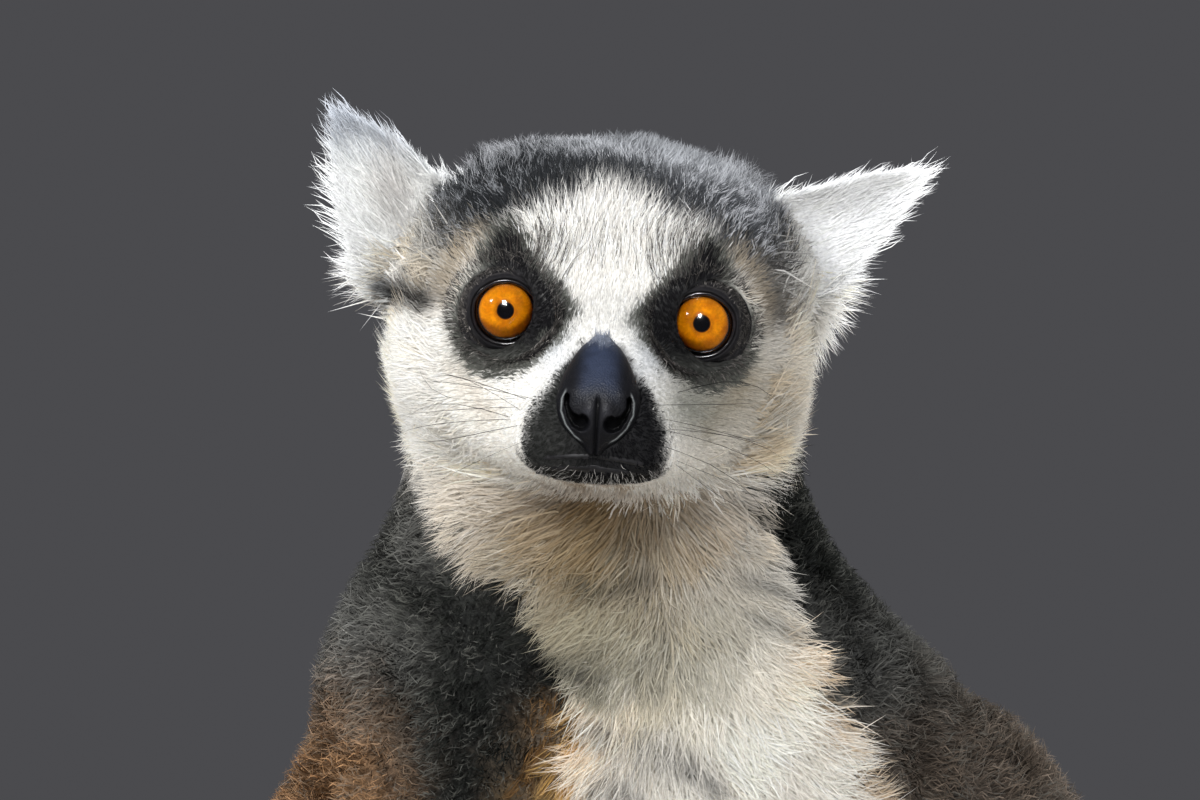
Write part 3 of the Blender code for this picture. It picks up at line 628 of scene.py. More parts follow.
def limb_dye(points, parts):
    """Colours of the limbs: upper arms dyed as the trunk beside them, grey-brown thighs, and
    pale grey shanks, forearms, hands and feet."""
    colour = trunk_dye(points)
    colour = mix(colour, (126, 117, 106), 0.6 * ease(20, 50, points[:, 1]))
    for part, shade in (("forearm", (156, 149, 139)), ("hand", (176, 169, 159)),
                        ("thigh", (128, 118, 107)), ("shank", (160, 153, 144)),
                        ("foot", (180, 173, 164))):
        colour[np.char.startswith(parts, part)] = paint(*shade)
    return colour


TAIL_BANDS = 13.5


def tail_dye(points):
    """Black and white bands of about equal width round the tail, the tip black."""
    share = along_tail(points) / (len(tail_line) - 1)
    wave = np.cos((share * TAIL_BANDS + 0.5) * 2 * math.pi)
    return mix(BELLY_WHITE, BLACK, ease(-0.25, 0.25, wave))


def dye(points, parts):
    """The colour of the coat at each place: its natural colour, with painted light and shade mixed in."""
    colour = trunk_dye(points)
    head = np.isin(parts, HEAD_PARTS)
    colour[head] = head_dye(points[head])
    ears = np.char.startswith(parts, "ear")
    x, y, z = to_face(points[ears]).T
    # painted shade: the ear at minus x is greyer, most at its tip, and each ear's cup is darker, deeper
    # at minus x
    right = ease(5, -5, x)
    shell = mix((255, 255, 252), (190, 194, 200), right * (0.15 + 0.85 * ease(24, 36, z)))
    # painted shade beside this ear's base, as on the head
    shell = mix(shell, (166, 162, 152), 0.5 * spot(x + 36, 5.5, z - 11, 6))
    ear_cup_shade = spot(np.abs(x) - 43, 5, z - 12 + 0.25 * x, 8)
    shell = mix(shell, (176, 170, 166), ear_cup_shade * (0.15 + 0.45 * right))
    # painted shade in the opening of the ear
    ear_opening_shade = spot(x + 38.5, 3.6, z - 2.4, 2)
    colour[ears] = mix(shell, (46, 42, 42), np.clip(1.3 * ear_opening_shade, 0, 1))
    tail = np.char.startswith(parts, "tail")
    colour[tail] = tail_dye(points[tail])
    limbs = np.isin(parts, [f"{part}_{side}" for part in SEGMENTS for side in JOINTS])
    colour[limbs] = limb_dye(points[limbs], parts[limbs])
    return colour


COAT_DEPTH = {"neck": 9, "chest": 10, "belly": 6, "rump": 6, "upper_arm": 4.5, "forearm": 4, "hand": 0.2,
    "thigh": 7, "shank": 4, "foot": 0.2, "ear": 0.8, "tail": 7.5}


def coat_depth(points, parts):
    """How far the coat stands off the skin: by body part, less on dark woolly stretches, and
    over the head from hardly anything on the lips to a thick ruff behind the cheeks."""
    depth = np.zeros(len(points))
    for part, thick in COAT_DEPTH.items():
        depth[np.char.startswith(parts, part)] = thick
    wool = np.isin(parts, ["neck", "chest"])
    depth[wool] = 4 + 3.5 * paleness(points[wool])
    head = np.isin(parts, HEAD_PARTS)
    x, y, z = to_face(points[head]).T
    thick = 1.6 + 3.4 * ease(-6, 24, y) + 1.5 * ease(12, 34, z) + 2 * ease(24, 50, y)
    thick *= 0.35 + 0.65 * ease(8, 17, np.hypot(np.abs(x) - EYE_SIDE, z))
    depth[head] = np.where(y < -9, 0.5 + 0.9 * ease(-24, -9, y), thick)
    return depth


def slimmer_ears(points, parts):
    """Ears drawn in along and across by the length of the fringe that the coat adds."""
    points = points.copy()
    for side, (base, tip) in EARS.items():
        ear = parts == f"ear_{side}"
        line = unit(np.subtract(tip, base))
        from_base = to_face(points[ear]) - base
        along = from_base @ line
        share = ease(0, 14, along)
        beside = from_base - along[:, None] * line
        beside[:, 1] = 0
        shift = -0.12 * share[:, None] * along[:, None] * line - 0.22 * share[:, None] * beside
        points[ear] += from_face(shift) - FACE_ORIGIN
    return points


skin_points = slimmer_ears(skin_points, skin_part)
skin_lay = coat_lay(skin_points, skin_part)
skin_depth = settle(coat_depth(skin_points, skin_part), 14)
skin_out = settle(outward(skin_points, skin_faces), 2)
skin_points = settle(skin_points - unit(skin_out) * (skin_depth + CLOSING)[:, None], 3, 0.3)
skin_points[:, 2] = np.maximum(skin_points[:, 2], SKIN_FLOOR)
skin_out = outward(skin_points, skin_faces)
skin_lay = settle(skin_lay, 12)
skin_lay -= skin_out * (skin_lay * skin_out).sum(axis=1, keepdims=True)
skin_lay = unit(skin_lay)

CRISP = [name for name in FLESH if name.startswith(("head", "muzzle", "lower_jaw", "ear", "neck", "chest",
    "upper_arm", "tail"))]
skin_colour = dye(skin_points, skin_part)
# the skin carries the painted crease shade as well
skin_colour = np.where(np.isin(skin_part, CRISP)[:, None], settle(skin_colour, 2),
    settle(skin_colour, 70)) * painted_crease_shade(skin_points)[:, None]
skin_dye, tree, main = shader("skin_dye", 0.8)
tone = stored(tree)
speckle, _ = mottle(tree, 900, 4, (0.35,) * 3, (0.95,) * 3, 0.35)
grade = node(tree, "RGBToBW", Color=tone)
woolly = node(tree, "MapRange", Value=grade.outputs["Val"], From_Min=0.1, From_Max=0.5, To_Min=1,
    To_Max=0.25)
wire(main, Base_Color=multiplied(tree, tone, speckle, woolly.outputs["Result"]))
bump(tree, main, speckle, 0.6, 0.0004)


def give_colour(piece, colours):
    """Stores a colour at each point of a piece, for its material to read."""
    layer = piece.data.color_attributes.new("coat", "FLOAT_COLOR", "POINT")
    rgba = np.ones((len(colours), 4), np.float32)
    rgba[:, :3] = colours
    layer.data.foreach_set("color", rgba.ravel())


skin = add_piece("skin", skin_points, skin_faces, skin_dye)
give_colour(skin, skin_colour * 0.85)
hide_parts(*FLESH)
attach(skin, "root")

# ---------------------------------------------------------------- glass eyes
# Each eye is a glass eye as a taxidermist sets it: a dark ball with a sunk amber iris and a
# small round pupil painted inside it, under a clear bulging cornea. It is as deep as a real one.
EYE_BACK, EYE_RADIUS = 4.6, 8.8
IRIS_RADIUS, PUPIL_RADIUS = 5.5, 1.65


def revolved(name, side, profile, material, steps=96):
    """A closed surface turned round the line of sight of one eye: each row of the profile is
    distance from that line, and distance in front of the middle of the ball. The first and the
    last row are one point each, on that line. Gives the piece and each point's row, distance
    and turn."""
    inner_rows = len(profile) - 2
    row = np.concatenate([[0], np.repeat(np.arange(inner_rows) + 1, steps), [inner_rows + 1]])
    turn = np.concatenate([[0], np.tile(once_round(steps), inner_rows), [0]])
    radius, front = np.array(profile, float)[row].T
    points = np.stack([side * EYE_SIDE + radius * np.cos(turn), EYE_BACK - front, radius * np.sin(turn)],
        axis=-1)
    step, last = np.arange(steps), len(points) - 1
    after = (step + 1) % steps
    front_pole = np.stack([0 * step, 1 + step, 1 + after], axis=1)
    back_pole = last - steps + np.stack([step, 0 * step + steps, after], axis=1)
    faces = np.concatenate([halved(bands(inner_rows, steps) + 1), front_pole, back_pole])
    piece = add_piece(name, from_face(points), faces, material)
    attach(piece, "root")
    return piece, row, radius, turn


iris_glass, tree, main = shader("iris_glass", 0.3, Specular_IOR_Level=0)
fibre, _ = mottle(tree, 1500, 6, (0.72,) * 3, (1,) * 3, 0.3, 0.65)
wire(main, Base_Color=multiplied(tree, stored(tree), fibre))
cornea_glass, tree, main = shader("cornea_glass", 0.02)
tree.nodes.remove(main)
edge, clear = node(tree, "Fresnel", IOR=1.5), node(tree, "BsdfTransparent")
gloss = node(tree, "BsdfGlossy", Roughness=0.1)
two_shaders(tree, "Material Output", edge.outputs["Fac"], clear.outputs["BSDF"], gloss.outputs["BSDF"])

iris_rows = np.linspace(PUPIL_RADIUS, IRIS_RADIUS, 26)
FRONT_ROWS = len(iris_rows) + 4  # the rows of the ball that show iris and pupil
dish = 6.05 + 0.5 * np.sin(np.pi * (iris_rows - PUPIL_RADIUS) / 5.4) ** 0.8
ball_turn = np.linspace(math.asin(5.95 / EYE_RADIUS), math.pi, 26)[1:]
eye_profile = ([(0, 5.6), (PUPIL_RADIUS * 0.9, 5.6)] + list(zip(iris_rows, dish)) +
    [(5.8, 6.3), (5.95, 6.48)] + [(EYE_RADIUS * math.sin(t), EYE_RADIUS * math.cos(t))
    for t in ball_turn])
cornea_turn = np.linspace(0, 0.88, 16)
dome = [(8.1 * math.sin(t), 1 + 8.1 * math.cos(t)) for t in cornea_turn]
cornea_profile = dome + [(rho - 0.15, front - 0.3) for rho, front in dome[::-1]]
cornea_profile[-1] = (0, cornea_profile[-1][1])
for side_name, side in SIDES:
    ball, row, rho, angle = revolved(f"eyeball_{side_name}", side, eye_profile, iris_glass)
    swirl = (0.5 * np.sin(angle * 37 + 2 * np.sin(rho * 3)) + 0.5 * np.sin(angle * 61 + rho) +
        np.sin(angle * 5 + rho * 1.7 + side) + 0.7 * np.sin(angle * 3 - rho * 2.3))
    amber = mix((226, 140, 6), (196, 98, 3), np.clip(0.22 + 0.16 * swirl, 0, 1))
    for tone, share in (((150, 80, 6), 0.7 * ease(2.7, 1.8, rho)),
                        ((120, 60, 6), 0.75 * ease(4.7, 5.4, rho)),
                        ((12, 9, 8), ease(5.35, 5.6, rho)), ((3, 3, 6), ease(1.8, 1.6, rho))):
        amber = mix(amber, tone, share)
    give_colour(ball, np.where(row[:, None] < FRONT_ROWS, amber, paint(14, 11, 10)))
    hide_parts(f"eye_{side_name}")
    cornea = revolved(f"cornea_{side_name}", side, cornea_profile, cornea_glass)[0]

# ---------------------------------------------------------------- lids
# The lids are modelled in black wax round the glass eye: a wet rim that lies on the ball, a
# smooth band with a fold above it, and a thin skirt that runs in under the coat of the face.
skin_tree = BVHTree.FromPolygons(skin_points.tolist(), skin_faces.tolist())


def skin_front(x, z):
    """How far back the skin lies behind the face plane at a place seen from the front."""
    origin, ahead = from_face((x, -80, z)), from_face((x, 0, z)) - from_face((x, -1, z))
    hit = skin_tree.ray_cast(origin.tolist(), ahead.tolist())[0]
    return to_face(np.array(hit))[1] if hit else 30


lid_wax, tree, main = shader("lid_wax", 0.62, Specular_IOR_Level=0.2)
wrinkled, wrinkle = mottle(tree, 1300, 5, (0.7,) * 3, (1.1,) * 3)
wire(main, Base_Color=multiplied(tree, stored(tree), wrinkled))
bump(tree, main, wrinkle, 0.5, 0.0003)
wet_rim, tree, main = shader("wet_rim", 0.22, Coat_Weight=0.6)
wire(main, Base_Color=mottle(tree, 700, 4, paint(10, 9, 10), paint(24, 20, 22))[0])

LID_TURNS, LID_ROWS, BEAD_STEPS = 120, 26, 12
lid_beds = []
for side_name, side in SIDES:
    turn = once_round(LID_TURNS)
    inward = np.cos(turn) * -side  # one towards the nose, minus one outwards
    upward = np.sin(turn)
    opening = (6 - 0.55 * ease(0.2, 1, upward) + 0.15 * ease(0, 1, -upward) +
        1.2 * spot(inward - 0.96, 0.1) * spot(upward + 0.2, 0.3))
    hull = [[skin_front(side * EYE_SIDE + rho * math.cos(t), rho * math.sin(t)) for t in turn]
        for rho in (10.2, 11)]
    hull = np.min(hull, axis=0)
    for _ in range(6):
        hull = (np.roll(hull, 1) + 2 * hull + np.roll(hull, -1)) / 4
    grid, shades = [], []
    for share in np.linspace(0, 1, LID_ROWS):
        rho = opening + 0.55 + share * (10.9 - opening)
        on_ball = np.sqrt(np.maximum((EYE_RADIUS + 1.15) ** 2 - np.minimum(rho, 9) ** 2, 0))
        inner_lip = -0.9 * (1 - ease(0, 0.08, share))
        joined = ease(0.18, 0.72, share)
        front = on_ball * (1 - joined) + (EYE_BACK - hull + 0.25) * joined + inner_lip
        front -= 0.55 * spot(rho - 8.9 + 0.3 * inward, 0.33) * ease(-0.3, 0.3, upward)
        front -= 0.3 * spot(rho - 8.2, 0.25) * ease(0.2, -0.4, upward)
        fine = np.cos((rho + 0.35 * np.sin(3 * turn + side) + 0.15 * np.sin(11 * turn)) * 8)
        front += 0.11 * fine * ease(0.1, 0.25, share)
        front -= 0.7 * ease(0.55, 0.8, share) + 2.6 * ease(0.8, 1, share)
        grid.append(np.stack([side * EYE_SIDE + rho * np.cos(turn), EYE_BACK - front, rho * np.sin(turn)],
            axis=-1))
        # painted light and shade: the fine folds are lighter on their ridges and darker in their valleys,
        # and the lid darkens along its main fold; the rim and outer band are black wax
        wax = mix((25, 24, 26), (62, 59, 57), 0.5 * ease(0, 1, fine) * ease(0.1, 0.25, share))
        black_and_fold_shade = 1 - ease(0, 0.12, share) + 0.5 * ease(0.35, 0.6, share) + 0.4 * spot(rho - 8.8, 0.5)
        shades.append(mix(wax, (11, 10, 12), np.clip(black_and_fold_shade, 0, 1)))
    faces, lid_points = bands(LID_ROWS, LID_TURNS, True), from_face(np.concatenate(grid))
    lid = add_piece(f"lids_{side_name}", lid_points, faces, lid_wax)
    give_colour(lid, np.concatenate(shades))
    lid_tris = halved(faces[:-LID_TURNS])  # the last strip shuts the band behind
    spread_out = np.stack([np.cos(turn), 0 * turn, np.sin(turn)], axis=1)
    bed = (lid_points, lid_tris, outward(lid_points, lid_tris),
        from_face(np.tile(spread_out, (LID_ROWS, 1))) - FACE_ORIGIN, np.full(len(lid_points), "head"))
    lid_beds.append((side_name, bed, np.repeat(np.linspace(0, 1, LID_ROWS), LID_TURNS),
        np.tile(upward, LID_ROWS)))
    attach(lid, "root")
    bead = once_round(BEAD_STEPS)
    rho = opening[:, None] + 0.35 + 0.42 * np.cos(bead)
    front = np.sqrt(EYE_RADIUS ** 2 - (opening[:, None] + 0.35) ** 2) + 0.35 + 0.42 * np.sin(bead)
    ring_points = np.stack([side * EYE_SIDE + rho * np.cos(turn)[:, None], EYE_BACK - front,
        rho * np.sin(turn)[:, None]], axis=-1).reshape(-1, 3)
    rim = add_piece(f"lid_rim_{side_name}", from_face(ring_points), bands(LID_TURNS, BEAD_STEPS, True),
        wet_rim)
    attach(rim, "root")

# ---------------------------------------------------------------- the bare nose
# A wedge of bare blue-black leather from the bridge down to the cleft of the lip, with comma
# nostrils under pale rims on both sides of a deep groove; cast in wax and waxed to a soft sheen.
# Its colour also holds painted light and shade: a bluish sheen down the bridge, highlights on the
# pads and along the rims, and shade in the nostrils and the groove.
NOSE_TOP, NOSE_FOOT = -3.6, -26.5
NOSE_LEVELS = np.array([-26.5, -25, -23.5, -21.5, -18.5, -16, -13, -9, -6, -4.4, -3.6])
NOSE_HALF = np.array([1, 2.6, 4.4, 6.5, 7.4, 7.7, 7.1, 5.3, 3.5, 1.7, 0.05])
NOSE_FRONT = np.array([-34.2, -35.6, -36.8, -37.9, -38.5, -38.4, -37.5, -34.8, -31.8, -29.4, -27.6])


def profile(z, values):
    """The nose's side view at some heights: its stops joined by lines, then rounded by taking
    the mean over a stretch of 3.2."""
    return sum(np.interp(z + step, NOSE_LEVELS, values) for step in np.linspace(-1.6, 1.6, 9)) / 9


nose_v, nose_u = np.meshgrid(np.linspace(0, 1, 130), np.linspace(-1, 1, 99), indexing="ij")
z = NOSE_TOP + (NOSE_FOOT - NOSE_TOP) * nose_v
half = profile(z, NOSE_HALF) + 0.4
bend = nose_u * math.pi / 2
x = half * np.sin(bend)
mirrored = np.abs(x)
drop = 6 * (1 - np.abs(np.cos(bend)) ** 0.75) * ease(-2, -9, z) + 4 * (1 - np.cos(bend)) * ease(-9, -4, z)
y = profile(z, NOSE_FRONT) + drop
comma, along = stroke(mirrored, z, [(5.9, -15.6), (5.9, -17.4), (5, -19.3), (3.7, -20.4), (2.9, -20.5)])
bore = 0.42 + 1.05 * ease(0.25, 1, along)
pit = 1 - ease(0.65, 1.25, comma / bore)
rim_gap, along = stroke(mirrored, z, [(6.1, -14.2), (6.9, -16.2), (6.9, -18.6), (5.8, -21.2), (4, -23.2),
    (2.4, -24.2)])
nostril_rim = spot(rim_gap, 0.15) * ease(-0.02, 0.1, along) * ease(1.02, 0.85, along)
groove = spot(x, 0.38) * ease(-14.6, -17, z)
pad = spot(mirrored - 1.7, 1.1, z + 18.2, 2)
wing = spot(mirrored - 5, 1.6, z + 14.6, 1.4)
y = y + 3.6 * pit - 0.35 * nostril_rim + 0.8 * groove - 0.55 * pad - 0.35 * wing
# painted sheen: a bluish band down the middle of the bridge
bridge = ease(-16.5, -11.5, z + 0.12 * x * x)
leather = (15, 15, 18)
downy = ease(-1.6, 1.4, z + 5.2 - 0.55 * mirrored + 0.4 * np.sin(x * 7 + 2 * np.sin(x * 3)))
# painted highlights on the pads and on the pale nostril rims, painted shade in the nostrils and the
# groove, then the white down at the top
for tone, share in (((38, 45, 62), bridge * 0.9 * np.exp(-(x / 3.6) ** 4)),
                    ((64, 64, 70), 0.25 * pad), ((116, 120, 120), 0.75 * nostril_rim),
                    ((5, 5, 7), np.clip(pit + 0.8 * groove, 0, 1)),
                    ((120, 126, 138), 0.6 * downy)):
    leather = mix(leather, tone, share.ravel())
y = y + 0.9 * downy

nose_leather, tree, main = shader("nose_leather", 0.47, Specular_IOR_Level=0.35)
mottled, _ = mottle(tree, 500, 6, (0.75,) * 3, (1.1,) * 3)
wire(main, Base_Color=multiplied(tree, stored(tree), mottled))
pebble = node(tree, "TexVoronoi", Vector=node(tree, "TexCoord").outputs["Object"], Scale=2600)
bump(tree, main, pebble.outputs["Distance"], 0.35, 0.00025)

nose_points, nose_faces = shut_sheet(from_face(np.stack([x, y, z], axis=-1).reshape(-1, 3)), *x.shape,
    from_face((0, -20, -15)))
nose = add_piece("nose_pad", nose_points, nose_faces, nose_leather)
give_colour(nose, np.concatenate([leather, leather[-1:]]))
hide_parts("nose")
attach(nose, "root")

# ---------------------------------------------------------------- lips
# Black lips cast with the muzzle: the upper one overhangs a dark slit that runs round the
# front from corner to corner, and the lower one shows under its middle.
LIP_TURNS, LIP_LEVELS, LIP_HALF = 97, 45, 11
LIP_TOP, LIP_FOOT = -24.8, -30.9
x, z = np.meshgrid(np.linspace(-LIP_HALF, LIP_HALF, LIP_TURNS),
    np.linspace(LIP_TOP, LIP_FOOT, LIP_LEVELS))
lip_base = np.array([[skin_front(a, b) for a, b in zip(row_x, row_z)] for row_x, row_z in zip(x, z)])
lip_base = np.minimum(lip_base, lip_base[0] + 6)
for _ in range(8):
    lip_base[1:-1] = (lip_base[:-2] + 2 * lip_base[1:-1] + lip_base[2:]) / 4
    lip_base[:, 1:-1] = (lip_base[:, :-2] + 2 * lip_base[:, 1:-1] + lip_base[:, 2:]) / 4
mouth = z - MOUTH + 1.2 * (x / LIP_HALF) ** 2 - 0.3 * spot(x, 1.2)
height = (2 * z - LIP_TOP - LIP_FOOT) / (LIP_TOP - LIP_FOOT)
border = ease(1, 0.55, x ** 4 / LIP_HALF ** 4 + height ** 4)
lift = 0.5 * spot(mouth - 0.9, 0.7) + 0.45 * spot(mouth + 1.3, 0.8)
y = lip_base + 0.2 - lift + 1.7 * spot(mouth, 0.42) + 4.5 * (1 - border)
lip_points, lip_faces = shut_sheet(from_face(np.stack([x, y, z], axis=-1).reshape(-1, 3)), *x.shape,
    from_face((0, -20, -27.5)))
lip_skin, tree, main = shader("lip_skin", 0.5)
lip_tone, _ = mottle(tree, 1100, 5, paint(14, 14, 15), paint(34, 33, 35))
wire(main, Base_Color=lip_tone)
bump(tree, main, lip_tone, 0.6, 0.0003)
lips = add_piece("lips", lip_points, lip_faces, lip_skin)
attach(lips, "root")

# ---------------------------------------------------------------- nails
# Narrow dark horn nails glued on the ends of the fingers and toes, arched across and curving
# over the tips.
DIGIT_SPREAD = (-10.4, -3.5, 3.5, 10.2)
BALLS = {"right": (-66, -54, 8), "left": (73, -52, 8)}


def nail(end, heading, back, half, reach, rows=9, sides=12):
    """One closed nail: at t of its length its half width is half * sqrt(1 - t ** 3), its arch
    follows an oval across, and it bends down by t ** 2 beyond the fleshy tip."""
    heading, back = unit(np.array(heading, float)), np.array(back, float)
    back = unit(back - heading * (back @ heading))
    aside = np.cross(heading, back)
    t = np.linspace(0, 1, rows)[:, None]
    around = once_round(sides)[None, :]
    wide = half * np.sqrt(1 - 0.98 * t ** 3)
    high = half * np.where(np.sin(around) > 0, 0.75, 0.3) * (1 - 0.55 * t)
    run = reach * t - 0.9 * (t == 0)
    points = (np.array(end, float) + aside * (wide * np.cos(around))[..., None] +
        back * (high * np.sin(around) - 1.3 * t ** 2 * half / 1.9)[..., None] +
        heading * (run + 0 * around)[..., None]).reshape(-1, 3)
    last = (rows - 1) * sides
    ends = [(0, k, k + 1) for k in range(1, sides - 1)]
    ends += [(last, last + k + 1, last + k) for k in range(1, sides - 1)]
    return points, np.concatenate([halved(bands(rows, sides)), ends])


nail_points, nail_faces, count = [], [], 0
for side_name, side in SIDES:
    spots = {name: np.array(place, float) for name, place in JOINTS[side_name].items()}
    ball, inner = np.array(BALLS[side_name], float), np.array((-side, 0, 0))
    digits = []
    for shift in DIGIT_SPREAD:
        across = np.array((shift, 0, 0))
        digits.append((spots["knuckles"] * 0.6 + spots["fingertips"] * 0.4 + across * 1.2 + (0, -6, 1),
            spots["fingertips"] + across * 1.3 + (0, 0, abs(shift) * 0.5), (0, -1, 0.4), 1.9, 2.5))
        digits.append(((ball + spots["toes"]) / 2 + across * 1.2 + (0, 0, -1.6),
            spots["toes"] + across * 1.3 + (0, abs(shift) * 0.6, -1.6), (0, 0, 1), 2.2, 3.2))
    root = (spots["wrist"] + spots["knuckles"]) / 2
    digits.append((root + inner * 20 + (0, -9, -7), root + inner * 25 + (0, -15, -19), (0, -1, 0.4), 2,
        2.5))
    root = spots["heel"] * 0.4 + ball * 0.6
    digits.append((root + inner * 23 + (0, -14, -4.5), root + inner * 30 + (0, -29, -5.5), (0, 0, 1), 2.6,
        3.2))
    for bend, tip, back, half, girth in digits:
        middle, end = from_trunk(bend), from_trunk(tip)
        dorsal = from_trunk(back) - from_trunk((0, 0, 0))
        heading = unit(end - middle)
        dorsal = unit(dorsal - heading * (dorsal @ heading))
        points, faces = nail(end + dorsal * girth * 0.62 - heading * 1.6, heading, dorsal, half * 0.8,
            girth * 0.9 + 2.4)
        nail_points.append(points)
        nail_faces.append(faces + count)
        count += len(points)
nail_horn, tree, main = shader("nail_horn", 0.35)
wire(main, Base_Color=mottle(tree, 900, 3, paint(26, 23, 22), paint(48, 43, 40))[0])
nails = add_piece("nails", np.concatenate(nail_points), np.concatenate(nail_faces), nail_horn)
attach(nails, "root")

# ---------------------------------------------------------------- the coat
# Fur in narrow pointed tufts rooted in the skin. Each leaves the skin steeply and lies down
# along the body; neighbours lean together into locks where the coat is long.
SKIN_BED = (skin_points, skin_faces, skin_out, skin_lay, skin_part)


def scattered(cells, seed):
    """Three fixed random numbers from nought to one for each cell of a lattice."""
    mixed = cells @ np.array([[127.1, 269.5, 419.2], [311.7, 183.3, 371.9], [74.7, 246.1, 168.3]])
    return np.modf(np.abs(np.sin(mixed + seed * 17.3)) * 43758.5453)[0]


def lock_middle(points, size, seed):
    """Middle of the lock that each root belongs to: the nearest of many points, one thrown
    at random into each cell of a lattice of that size."""
    cells = np.floor(points / size)
    best, middle = np.full(len(points), np.inf), points.copy()
    for step in np.ndindex(3, 3, 3):
        corner = cells + np.array(step) - 1
        candidate = (corner + scattered(corner, seed)) * size
        gap = ((points - candidate) ** 2).sum(axis=1)
        nearer = gap < best
        best[nearer], middle[nearer] = gap[nearer], candidate[nearer]
    return middle


def coat_material(name, roughness, glow):
    """Hair that lets some light through: the tuft's own colour, streaked along its length."""
    material, tree, main = shader(name, roughness, Specular_IOR_Level=0.25)
    streak, _ = mottle(tree, 1400, 2, (0.78,) * 3, (1,) * 3)
    streaked = multiplied(tree, stored(tree), streak)
    wire(main, Base_Color=streaked)
    through = node(tree, "BsdfTranslucent", Color=streaked)
    two_shaders(tree, "Material Output", glow, main.outputs["BSDF"], through.outputs["BSDF"])
    return material


coat_hair = coat_material("coat_hair", 0.6, 0.32)
soft_hair = coat_material("soft_hair", 0.7, 0.52)


def unwrap(points, start, end):
    """Turns round the line from start to end, and distance along it, both from nought to one."""
    line = unit(np.subtract(end, start))
    aside = unit(np.cross(line, (0.3, 1, 0.2)))
    other = np.cross(line, aside)
    rest = points - start
    along = (rest @ line) / np.linalg.norm(np.subtract(end, start))
    turn = np.arctan2(rest @ aside, rest @ other) / (2 * math.pi) + 0.5
    return np.stack([turn * 0.98 + 0.01, np.clip(along, 0, 1) * 0.98 + 0.01], axis=1)


